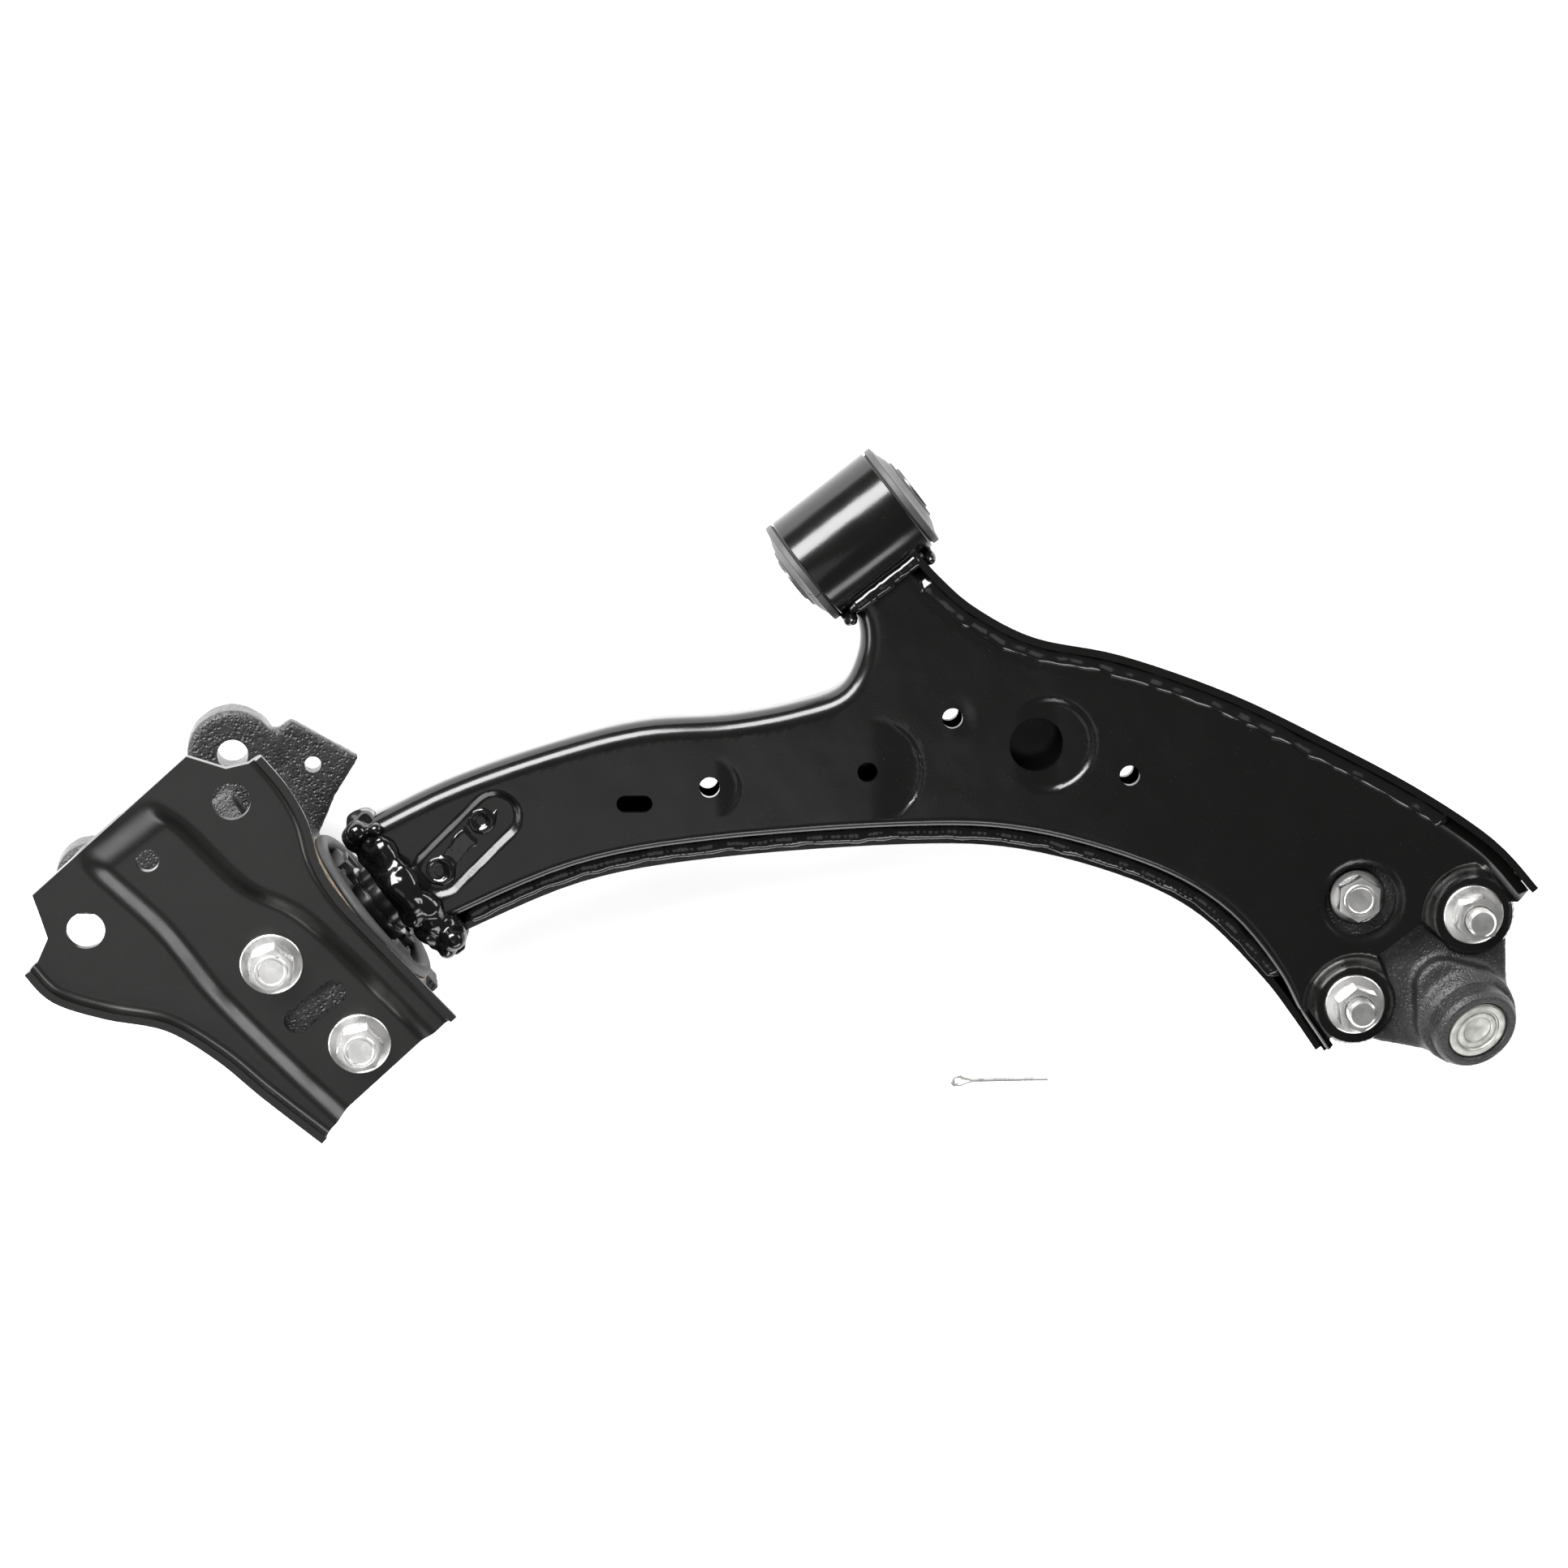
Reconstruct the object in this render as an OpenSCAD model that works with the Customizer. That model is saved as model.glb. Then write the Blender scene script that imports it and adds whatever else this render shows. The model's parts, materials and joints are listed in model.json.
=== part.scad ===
// Stamped lower control arm of a car's front suspension, with its front
// bushing, its rear bushing in a cast bracket, and its bolt-on ball joint.
// Origin: centre of the front bushing's bore. +X: along the pivot axis
// towards the rear bushing. +Y: outboard, towards the ball joint.
// +Z: towards the face that carries the nuts.

/* [Overall] */
// Distance between the middles of the two bushings
pivot_span = 282; // [250:1:340]
// Distance from the pivot axis to the ball's centre
reach = 325; // [270:1:390]
// How far the ball lies ahead of the front bushing
ball_offset = 81; // [65:1:95]

/* [Arm shells] */
// Thickness of the stamped sheet
sheet = 3.2; // [2.5:0.1:4]
// Height of the upper shell's face above the pivot plane
cover_top = 12; // [11:0.5:16]
// Width of the welding ledge along the rear edge
ledge = 8; // [7:0.5:11]
// Diameter of the small tooling holes
tool_hole_d = 8.6; // [6:0.1:11]
// Diameter of the large drain hole
drain_hole_d = 23; // [16:0.5:28]
// Diameter of the access hole over the short bolt
access_hole_d = 31; // [28:0.5:34]

/* [Front bushing] */
// Length of the welded eye
eye_len = 47.5; // [40:0.5:54]
// Outer diameter of the eye
eye_d = 49; // [46:0.5:54]
// Wall of the eye
eye_wall = 3.5; // [2.5:0.1:4.5]
// Wall of each bushing's outer sleeve
can_wall = 1.5; // [1:0.1:2]
// Length of the front inner sleeve
front_sleeve_len = 64; // [60:0.5:72]
// Bore for the front pivot bolt
front_bore_d = 14.2; // [12.2:0.1:16.2]
// Wall of the front inner sleeve
front_sleeve_wall = 3; // [2.5:0.1:4]

/* [Rear bushing and shaft] */
// Outer diameter of the rear bushing
rear_bush_d = 76; // [66:1:80]
// Length of the rear bushing's outer sleeve
rear_bush_len = 50; // [42:1:56]
// Diameter of the pivot shaft
shaft_d = 28; // [24:0.5:31]
// Wall of the rear inner sleeve
rear_sleeve_wall = 3.5; // [2.5:0.1:4.5]

/* [Bracket] */
// Turn of the bracket about the pivot axis
bracket_tilt = 6; // [0:0.5:10]
// Wall of the cast housing
housing_wall = 4; // [3.5:0.5:8]
// Bore of the two bracket ears
ear_bore_d = 13; // [12:0.1:14.5]
// Outer diameter of the front ear
ear_d = 38; // [32:1:44]
// Outer diameter of the back ear
ear_back_d = 31; // [26:1:38]
// Thickness of the ears
ear_t = 15; // [9:0.5:16]
// Thickness of the stiffener plate
plate_t = 3.2; // [2.5:0.1:4]
// Height of the plate's turned edges
plate_flange_h = 13; // [9:0.5:16]
// Clearance hole in the plate over each ear
plate_hole_d = 15.5; // [14.5:0.1:18]

/* [Ball joint] */
// Lean of the ball joint's axis towards outboard
joint_lean = 25; // [15:1:30]
// Height of the ball's centre above the pivot plane
ball_z = -5; // [-7:0.5:-3]
// Diameter of the ball
ball_d = 28; // [25:0.5:29]
// Thickness of the forged flange
joint_flange_t = 10; // [9:0.5:12]
// Height of the flange's upper face
joint_flange_z = 2; // [1:0.5:3]
// Distance between the two outer joint bolts
joint_bolt_gap = 63.5; // [58:0.5:68]

/* [Fasteners] */
// Diameter of the M12 bolts
bolt_d = 12; // [10:0.5:12]
// Clearance of a bolt in its hole, on the diameter
bolt_play = 0.4; // [0.2:0.1:1]
// Width across flats of the M12 heads and nuts
hex_af = 17; // [16:0.5:19]
// Diameter of the fasteners' flanges
hex_flange_d = 26; // [23:0.5:27]
// Length of the cotter pin
cotter_len = 43; // [35:1:48]
// Diameter of the closed cotter pin
cotter_d = 2.9; // [2.4:0.1:3.2]

/* [Hidden] */
$fn = 64;

gap = 0.3;                        // between rubber and a sleeve that turns in it
floor_in = joint_flange_z - joint_flange_t;      // inner face of the lower shell
floor_out = floor_in - sheet;
rim_front = cover_top + 3;        // the lower shell's front wall stands proud
rim_rear = 2;
pad_top = joint_flange_z + sheet;
arm_end = pivot_span - 45;        // where the shells end, short of the rear bushing
eye_r = eye_d / 2;
can_r = eye_r - eye_wall;
front_rubber_r = can_r - can_wall;
front_sleeve_r = front_bore_d / 2 + front_sleeve_wall;
rear_sleeve_r = shaft_d / 2 + rear_sleeve_wall;
rear_r = rear_bush_d / 2;
housing_r = rear_r + housing_wall;
rear_x0 = pivot_span - rear_bush_len / 2;
rear_x1 = pivot_span + rear_bush_len / 2;
sleeve_x0 = rear_x0 - 5;
sleeve_x1 = rear_x1 + 4;
bolt_r = bolt_d / 2;
hole_r = bolt_r + bolt_play / 2;
plate_z = housing_r;              // underside of the plate, on the casting's pads

// ---- places and curves ----

function near_rear(x, y) = [pivot_span + x, y];
function near_ball(x, y) = [x - ball_offset, reach + y];
function to_ball(f, side) = [side - f * ball_offset, f * reach];
function between(fx, fy) = [fx * pivot_span, fy * reach];

// Smooth curve through points, with steps pieces between each two
function pick(p, i) = p[max(0, min(len(p) - 1, i))];
function curve_at(a, b, c, d, t) = 0.5 * (2 * b + (c - a) * t + (2 * a - 5 * b + 4 * c - d) * t * t
    + (3 * b - a - 3 * c + d) * t * t * t);
function curve(p, steps = 5) = [for (i = [0:len(p) - 2]) for (s = [0:steps - 1])
    curve_at(pick(p, i - 1), p[i], p[i + 1], pick(p, i + 2), s / steps), p[len(p) - 1]];

// The same curve, moved to the right of its direction by d
function heading(p, i) = pick(p, i + 1) - pick(p, i - 1);
function moved(p, d) = [for (i = [0:len(p) - 1])
    p[i] + d * [heading(p, i)[1], -heading(p, i)[0]] / norm(heading(p, i))];
function back(p) = [for (i = [len(p) - 1:-1:0]) p[i]];
function strip(p, a, b) = concat(moved(p, a), back(moved(p, b)));
function arc(c, r, a0, a1, n = 10) = [for (i = [0:n]) c + r * [cos(a0 + (a1 - a0) * i / n),
    sin(a0 + (a1 - a0) * i / n)]];

// Front edge of the arm, from the eye to the ball joint
front_edge = curve([[-17, 18], [-18, 34], [-22, 54], to_ball(0.245, -14), to_ball(0.333, -31),
    to_ball(0.46, -47), to_ball(0.587, -57), to_ball(0.714, -65), to_ball(0.832, -68),
    near_ball(-57, -26)]);
// Rear edge, from the ball joint to the rear bushing
rear_edge = curve([near_ball(60, -24), near_ball(59, -44), near_ball(59, -65), to_ball(0.685, 38),
    to_ball(0.587, 44), between(0.09, 0.465), between(0.22, 0.367), between(0.46, 0.225),
    between(0.64, 0.142), [arm_end, 31]]);
// Inner edge, from the rear bushing back to the eye
inner_edge = curve([[arm_end, -32], near_rear(-84, -24), near_rear(-126, -10),
    between(0.42, 0.02), between(0.31, 0.085), [62, 41], [43, 47], [28, 40], [20, 29], [20, 18]]);

bolt_n = near_ball(3 - joint_bolt_gap / 2, -31);
bolt_s = near_ball(3 + joint_bolt_gap / 2, -31);
bolt_c = near_ball(6, -68);
pad_r = 17;
// Ball joint end, round the two pads and open between them for the housing
arm_tip = concat(arc(bolt_n, pad_r, 165, 20), [near_ball(-10, -44), near_ball(15, -44)],
    arc(bolt_s, pad_r, 160, 15));
// The lower shell's walls run on past the pads as two short fins
fin_front = [near_ball(-53.5, -26), near_ball(-50, -31)];
fin_rear = [near_ball(56, -28)];

tool_holes = [[112, 46], [14, 86], [-30, 152]];
blind_hole = [56, 82];
drain_hole = [-7, 117];
slot_at = [141, 32];
slot_turn = 142;
plug_at = [near_rear(-59, 4), near_rear(-86, -2)];

module lower_shape() {
    polygon(concat(front_edge, fin_front, arm_tip, fin_rear, rear_edge, moved(inner_edge, sheet)));
}

module upper_shape() {
    polygon(concat(moved(front_edge, sheet), arm_tip, moved(rear_edge, ledge), inner_edge));
}

module slab(z0, z1) {
    translate([0, 0, z0]) linear_extrude(z1 - z0) children();
}

module rod_x(x0, x1, r, r2 = -1) {
    translate([x0, 0, 0]) rotate([0, 90, 0]) cylinder(h = x1 - x0, r1 = r, r2 = r2 < 0 ? r : r2);
}

module tube_x(x0, x1, outer, inner) {
    difference() {
        rod_x(x0, x1, outer);
        rod_x(x0 - 1, x1 + 1, inner);
    }
}

// Everything past the shells' open rear end
module past_end() {
    translate([arm_end, -100, -50]) cube([60, 200, 120]);
}

module hole(p, d) {
    translate([p[0], p[1], -50]) cylinder(h = 120, d = d);
}

module joint_holes(d) {
    for (p = [bolt_n, bolt_s, bolt_c]) hole(p, d);
}

// ---- arm shells ----

module lower_shell() {
    color("#16171a") difference() {
        union() {
            slab(floor_out, floor_in) lower_shape();
            slab(floor_out, rim_front) polygon(strip(front_edge, 0, sheet));
            slab(floor_out, rim_rear) polygon(strip(rear_edge, 0, sheet));
            slab(floor_out, rim_rear) polygon(strip(inner_edge, sheet, 2 * sheet));
        }
        rod_x(-60, 60, eye_r);
        past_end();
        joint_holes(bolt_d + bolt_play);
        for (p = tool_holes) hole(p, tool_hole_d);
    }
}

module pad_recess(p) {
    translate([p[0], p[1], joint_flange_z]) difference() {
        cylinder(h = cover_top - joint_flange_z, r = pad_r + sheet);
        translate([0, 0, sheet]) cylinder(h = cover_top, r = pad_r);
    }
}

module upper_shell() {
    color("#1b1c1f") difference() {
        union() {
            difference() {
                slab(cover_top - sheet, cover_top) upper_shape();
                for (p = [bolt_n, bolt_s]) hole(p, 2 * pad_r + sheet);
            }
            intersection() {
                slab(joint_flange_z, cover_top) upper_shape();
                union() for (p = [bolt_n, bolt_s]) pad_recess(p);
            }
            slab(joint_flange_z, cover_top) polygon(strip(rear_edge, ledge, ledge + sheet));
            slab(-4, cover_top) polygon(strip(inner_edge, 0, sheet));
        }
        for (p = [bolt_n, bolt_s]) {
            hole(p, bolt_d + bolt_play);
            translate([p[0], p[1], pad_top]) cylinder(h = 20, r = pad_r);
        }
        rod_x(-60, 60, eye_r);
        past_end();
        hole(bolt_c, access_hole_d);
        for (p = tool_holes) hole(p, tool_hole_d);
        hole(blind_hole, tool_hole_d);
        hole(drain_hole, drain_hole_d);
        translate([slot_at[0], slot_at[1], 0]) rotate(slot_turn) for (x = [-3.9, 3.9])
            translate([x, 0, 0]) cylinder(h = 30, d = 7.3);
        translate([slot_at[0], slot_at[1], 0]) rotate(slot_turn) translate([-3.9, -3.65, 0])
            cube([7.8, 7.3, 30]);
        for (p = plug_at) translate([p[0], p[1], 0]) cylinder(h = 30, d = 14);
    }
}

module seam_weld_front() {
    used = [for (i = [8:len(front_edge) - 4]) front_edge[i]];
    color("#0c0c0e") slab(cover_top, cover_top + 2) polygon(strip(used, sheet, sheet + 4));
}

module seam_weld_rear() {
    used = [for (i = [8:len(rear_edge) - 2]) rear_edge[i]];
    color("#0c0c0e") slab(-1, 3) polygon(strip(used, sheet, ledge));
}

module plug_welds() {
    color("#0c0c0e") for (p = plug_at) translate([p[0], p[1], cover_top - sheet])
        cylinder(h = sheet - 0.6, d = 14);
}

// ---- front bushing ----

module front_eye() {
    color("#1b1c1f") tube_x(-eye_len / 2, eye_len / 2, eye_r, can_r);
}

module eye_weld() {
    color("#0c0c0e") difference() {
        intersection() {
            tube_x(-19, 22, eye_r + 3.5, eye_r);
            translate([-30, 5, floor_out - 2.5]) cube([60, 40, cover_top - floor_out + 5]);
        }
        slab(floor_out, cover_top) lower_shape();
        slab(floor_out, cover_top) upper_shape();
        slab(floor_out, rim_front) polygon(strip(front_edge, 0, sheet));
    }
}

module front_bush_outer() {
    color("#8d8f92") tube_x(-eye_len / 2, eye_len / 2, can_r, front_rubber_r);
}

module front_bush_rubber() {
    half = eye_len / 2;
    lip = 4.2;
    nose = front_sleeve_len / 2 - 1;
    color("#151515") difference() {
        union() {
            rod_x(-half, half, front_rubber_r);
            for (s = [0, 1]) mirror([s, 0, 0]) {
                rod_x(half, half + lip, eye_r - 0.5);
                rod_x(half + lip, nose, eye_r - 4, front_sleeve_r + 3.5);
            }
        }
        rod_x(-40, 40, front_sleeve_r + gap);
    }
}

module front_bush_inner() {
    half = front_sleeve_len / 2;
    color("#6d6f72") tube_x(-half, half, front_sleeve_r, front_bore_d / 2);
}

// ---- rear bushing, pivot shaft and its fasteners ----

tang_z0 = floor_in;
tang_z1 = cover_top - sheet;

// Plate across the open end of the shells
module end_plate() {
    translate([arm_end, -26, -6]) cube([3, 63, 12]);
}

module pivot_shaft() {
    color("#17181a") {
        rod_x(arm_end, sleeve_x0, shaft_d / 2 + 1.5);
        rod_x(sleeve_x0, sleeve_x1 + 22, shaft_d / 2);
        translate([arm_end - 50, -13, tang_z0]) cube([50, 30, tang_z1 - tang_z0]);
        end_plate();
    }
}

module shaft_weld() {
    color("#0c0c0e") difference() {
        union() {
            translate([arm_end, -32, floor_out]) cube([5, 63, cover_top - floor_out]);
            rod_x(arm_end, arm_end + 5, shaft_d / 2 + 5);
        }
        rod_x(arm_end - 1, arm_end + 9, shaft_d / 2 + 1.5);
        end_plate();
    }
}

module rear_bush_outer() {
    color("#a08a63") tube_x(rear_x0, rear_x1, rear_r, rear_r - can_wall);
}

module rear_bush_rubber() {
    color("#141414") difference() {
        union() {
            rod_x(rear_x0 + 1, rear_x1 - 1, rear_r - can_wall);
            for (x = [rear_x0 - 4, rear_x1 - 4]) tube_x(x, x + 8, rear_r - can_wall, rear_r - 7);
            for (x = [rear_x0 - 4, rear_x1]) tube_x(x, x + 4, rear_r - 0.5, rear_r - 7);
        }
        rod_x(rear_x0, rear_x1, rear_sleeve_r + gap);
        for (x = [rear_x0, rear_x1 - 13]) difference() {
            rod_x(x, x + 13, rear_r - 7);
            rod_x(x - 1, x + 14, rear_sleeve_r + 5);
        }
    }
}

module rear_bush_inner() {
    color("#6d6f72") tube_x(sleeve_x0, sleeve_x1, rear_sleeve_r, shaft_d / 2);
}

module shaft_washer() {
    color("#b9bbbd") tube_x(sleeve_x1, sleeve_x1 + 3, 20, shaft_d / 2);
}

module shaft_nut() {
    color("#b9bbbd") difference() {
        translate([sleeve_x1 + 3, 0, 0]) rotate([0, 90, 0]) cylinder(h = 16, r = 41 / sqrt(3), $fn = 6);
        rod_x(sleeve_x1, sleeve_x1 + 22, shaft_d / 2);
    }
}

// ---- bracket, in its own tilted frame ----

module bracket_frame() {
    rotate([-bracket_tilt, 0, 0]) children();
}

ear_front = near_rear(-19, -84);
ear_back = near_rear(61, -79);
plate_bolt_at = [near_rear(13.5, -19), near_rear(7.5, 31)];
ear_z = -35;                      // mounting faces of the ears

module bracket_casting() {
    color("#131313") bracket_frame() difference() {
        union() {
            rod_x(rear_x0 + 2.5, rear_x1 - 2.5, housing_r);
            translate([rear_x0 + 17, -34, 20]) cube([36, 79, plate_z - 20]);
            slab(ear_z, ear_z + ear_t) polygon([near_rear(-30, -66), near_rear(-22, -25),
                near_rear(22, -25), near_rear(78, -72), ear_back, ear_front]);
            for (p = [[ear_front, ear_d], [ear_back, ear_back_d]])
                translate([p[0][0], p[0][1], ear_z]) cylinder(h = ear_t, d = p[1]);
            slab(-29, -22) polygon([near_rear(-47, -80), near_rear(-59, -49), near_rear(-40, -42),
                near_rear(-26, -34), near_rear(-20, -60), near_rear(-30, -80)]);
            translate([rear_x0 + 2, 25, -30]) cube([40, 25, 18]);
            translate([rear_x0 + 17, -78, ear_z]) rotate([90, 0, 90])
                linear_extrude(10) polygon([[0, 0], [50, 0], [50, 55], [36, 55], [6, 16]]);
        }
        rod_x(rear_x0 - 5, rear_x1 + 5, rear_r);
        for (p = [ear_front, ear_back]) translate([p[0], p[1], ear_z - 1])
            cylinder(h = ear_t + 30, d = ear_bore_d);
        translate([pivot_span - 42, -59, -40]) cylinder(h = 40, d = 7);
        for (p = plate_bolt_at) translate([p[0], p[1], 0]) cylinder(h = 90, d = bolt_d);
    }
}

plate_front = curve([near_rear(-38, -92), near_rear(-38, -76), near_rear(-35, -60),
    near_rear(-28, -44), near_rear(-25, -26), near_rear(-26, -2), near_rear(-29, 45)]);
plate_back = curve([near_rear(42, 52), near_rear(48, 21), near_rear(52, -4), near_rear(60, -28),
    near_rear(76, -48), near_rear(87, -66), near_rear(88, -81)]);
plate_end = [near_rear(75, -86), near_rear(71, -96), near_rear(68, -104), near_rear(-17, -110),
    near_rear(-26, -96)];

module stiffener_plate() {
    color("#1b1c1f") bracket_frame() difference() {
        union() {
            slab(plate_z, plate_z + plate_t)
                polygon(concat(plate_front, plate_back, plate_end));
            slab(plate_z, plate_z + plate_flange_h) polygon(strip(plate_front, 0, plate_t));
            slab(plate_z, plate_z + plate_flange_h) polygon(strip(plate_back, 0, plate_t));
        }
        for (p = [ear_front, ear_back]) hole(p, plate_hole_d);
        hole(near_rear(24, -85), 9.5);
        for (p = plate_bolt_at) hole(p, bolt_d + bolt_play);
        translate([pivot_span + 2, 1.5, 30]) cube([19, 11, 30]);
        for (x = [2, 21]) hole(near_rear(x, 7), 11);
    }
}

module hex_head(h, flange_d = hex_flange_d) {
    cylinder(h = 2.5, d = flange_d);
    cylinder(h = h, r = hex_af / sqrt(3), $fn = 6);
}

module plate_bolts() {
    color("#c9cbcd") bracket_frame() for (p = plate_bolt_at)
        translate([p[0], p[1], plate_z + plate_t]) {
            hex_head(10.5);
            translate([0, 0, -plate_t - 5]) cylinder(h = plate_t + 6, r = bolt_r);
        }
}

// ---- ball joint, in a frame at the ball's centre that leans outboard ----

module joint_frame() {
    translate([-ball_offset, reach, ball_z]) rotate([-joint_lean, 0, 0]) children();
}

ball_r = ball_d / 2;
seat_r = ball_r + 2.5;
body_r = seat_r + 4.5;
spigot_r = body_r - 0.5;

module ball_housing() {
    color("#3a3c40") difference() {
        union() {
            hull() {
                for (p = [bolt_n, bolt_s, bolt_c]) translate([p[0], p[1], floor_in])
                    cylinder(h = joint_flange_t, r = 15, $fn = 32);
                translate([-ball_offset, reach, floor_in])
                    cylinder(h = joint_flange_t, r = body_r, $fn = 32);
            }
            joint_frame() {
                translate([0, 0, -20]) cylinder(h = 7, r = spigot_r);
                translate([0, 0, -13]) cylinder(h = 23, r = body_r);
                translate([0, 0, 10]) cylinder(h = 3, r1 = body_r, r2 = seat_r + 2.5);
                translate([0, 0, 13]) cylinder(h = 9, r = seat_r + 2.5);
            }
        }
        joint_holes(bolt_d + bolt_play);
        joint_frame() {
            translate([0, 0, -9]) cylinder(h = 29.5, r = seat_r);
            translate([0, 0, 20]) cylinder(h = 3, r = seat_r - 2.7);
            translate([0, 0, -20.01]) cylinder(h = 11.02, r1 = seat_r + 1.8, r2 = seat_r - 3.5);
            translate([0, 0, -45]) cylinder(h = 25.01, r = spigot_r + 4);
        }
    }
}

module ball_seat() {
    color("#d8d4c8") joint_frame() difference() {
        translate([0, 0, -9]) cylinder(h = 26.5, r = seat_r);
        sphere(r = ball_r + 0.05, $fn = 64);
        translate([0, 0, -9.01]) cylinder(h = 2.2, r1 = seat_r - 3.5, r2 = seat_r - 4.2);
    }
}

module ball_cap() {
    color("#b4b5b2") joint_frame() difference() {
        translate([0, 0, 17.5]) cylinder(h = 3, r = seat_r);
        translate([0, 0, 19.7]) cylinder(h = 2, r = 9.5);
    }
}

stud_r = 6.5;
taper_r = 8.5;
thread_len = 16;
stud_end = -60;

module ball_stud() {
    color("#9c9ea0") joint_frame() difference() {
        union() {
            sphere(r = ball_r, $fn = 64);
            translate([0, 0, -24]) cylinder(h = 16, r = stud_r);
            translate([0, 0, -27]) cylinder(h = 3, r1 = taper_r, r2 = stud_r);
            translate([0, 0, stud_end + thread_len])
                cylinder(h = -27 - stud_end - thread_len, r1 = 7, r2 = taper_r);
            translate([0, 0, stud_end]) cylinder(h = thread_len, r = 6);
        }
        translate([-12, 0, stud_end + 4.5]) rotate([0, 90, 0]) cylinder(h = 24, d = 3.2);
    }
}

module dust_boot() {
    color("#111111") joint_frame() rotate_extrude()
        polygon([[spigot_r, -15], [spigot_r + 1.8, -15], [spigot_r + 1.8, -20],
            [spigot_r + 2.6, -22.5], [spigot_r + 1.6, -25], [16, -27.5], [11.5, -29],
            [10.4, -30], [10.4, -34], [8.9, -34], [8.9, -28.6], [10.6, -27.4],
            [15.4, -25.8], [spigot_r - 0.4, -23.8], [spigot_r + 0.4, -22], [spigot_r, -20.3]]);
}

module boot_ring_lower() {
    color("#5d5f61") joint_frame() translate([0, 0, -18.5]) difference() {
        cylinder(h = 2, r = spigot_r + 2.9);
        translate([0, 0, -1]) cylinder(h = 4, r = spigot_r + 1.8);
    }
}

module boot_ring_upper() {
    color("#5d5f61") joint_frame() translate([0, 0, -33]) difference() {
        cylinder(h = 2, r = 11.5);
        translate([0, 0, -1]) cylinder(h = 4, r = 10.4);
    }
}

module castle_nut() {
    color("#c9cbcd") joint_frame() translate([0, 0, stud_end + 2]) difference() {
        union() {
            translate([0, 0, 5]) cylinder(h = 8, r = 19 / sqrt(3), $fn = 6);
            cylinder(h = 6, r = 9);
        }
        translate([0, 0, -1]) cylinder(h = 16, r = 6);
        for (a = [0, 60, 120]) rotate(a) translate([-12, -1.7, -1]) cube([24, 3.4, 5]);
    }
}

// ---- fasteners of the ball joint, and the loose cotter pin ----

module joint_bolts() {
    color("#c9cbcd") for (p = [bolt_n, bolt_s]) translate([p[0], p[1], floor_out]) {
        mirror([0, 0, 1]) hex_head(9.5);
        translate([0, 0, -1]) cylinder(h = pad_top - floor_out + 19.5, r = bolt_r);
    }
}

module joint_nuts() {
    color("#c9cbcd") for (p = [bolt_n, bolt_s]) translate([p[0], p[1], pad_top]) difference() {
        hex_head(12);
        translate([0, 0, -1]) cylinder(h = 20, r = bolt_r);
    }
}

module short_bolt() {
    color("#c9cbcd") translate([bolt_c[0], bolt_c[1], joint_flange_z]) {
        hex_head(8.5, hex_flange_d - 2);
        translate([0, 0, floor_out - joint_flange_z - 15])
            cylinder(h = joint_flange_z - floor_out + 16, r = bolt_r);
    }
}

module short_bolt_nut() {
    color("#c9cbcd") translate([bolt_c[0], bolt_c[1], floor_out]) mirror([0, 0, 1]) difference() {
        hex_head(12);
        translate([0, 0, -1]) cylinder(h = 20, r = bolt_r);
    }
}

module cotter_pin() {
    eye = 6;
    ground = ball_z + stud_end * cos(joint_lean);
    color("#cfd1d3") translate([116, 231, ground - 2.2]) rotate(142.5) {
        for (s = [-1, 1]) translate([eye, 0, cotter_d / 2]) rotate([0, 90, 0]) intersection() {
            cylinder(h = cotter_len - eye - (s > 0 ? 6 : 0), d = cotter_d);
            translate([-5, s > 0 ? 0 : -5, -1]) cube([10, 5, 60]);
        }
        translate([eye / 2 + 0.4, 0, cotter_d / 2]) rotate_extrude()
            translate([1.9, 0]) circle(r = 0.75, $fn = 24);
    }
}

lower_shell();
upper_shell();
seam_weld_front();
seam_weld_rear();
plug_welds();
front_eye();
eye_weld();
front_bush_outer();
front_bush_rubber();
front_bush_inner();
pivot_shaft();
shaft_weld();
rear_bush_outer();
rear_bush_rubber();
rear_bush_inner();
shaft_washer();
shaft_nut();
bracket_casting();
stiffener_plate();
plate_bolts();
ball_housing();
ball_seat();
ball_cap();
ball_stud();
dust_boot();
boot_ring_lower();
boot_ring_upper();
castle_nut();
cotter_pin();
joint_bolts();
joint_nuts();
short_bolt();
short_bolt_nut();
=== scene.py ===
import json
import math

import bmesh
import bpy
from mathutils import Matrix, Vector, noise


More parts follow.
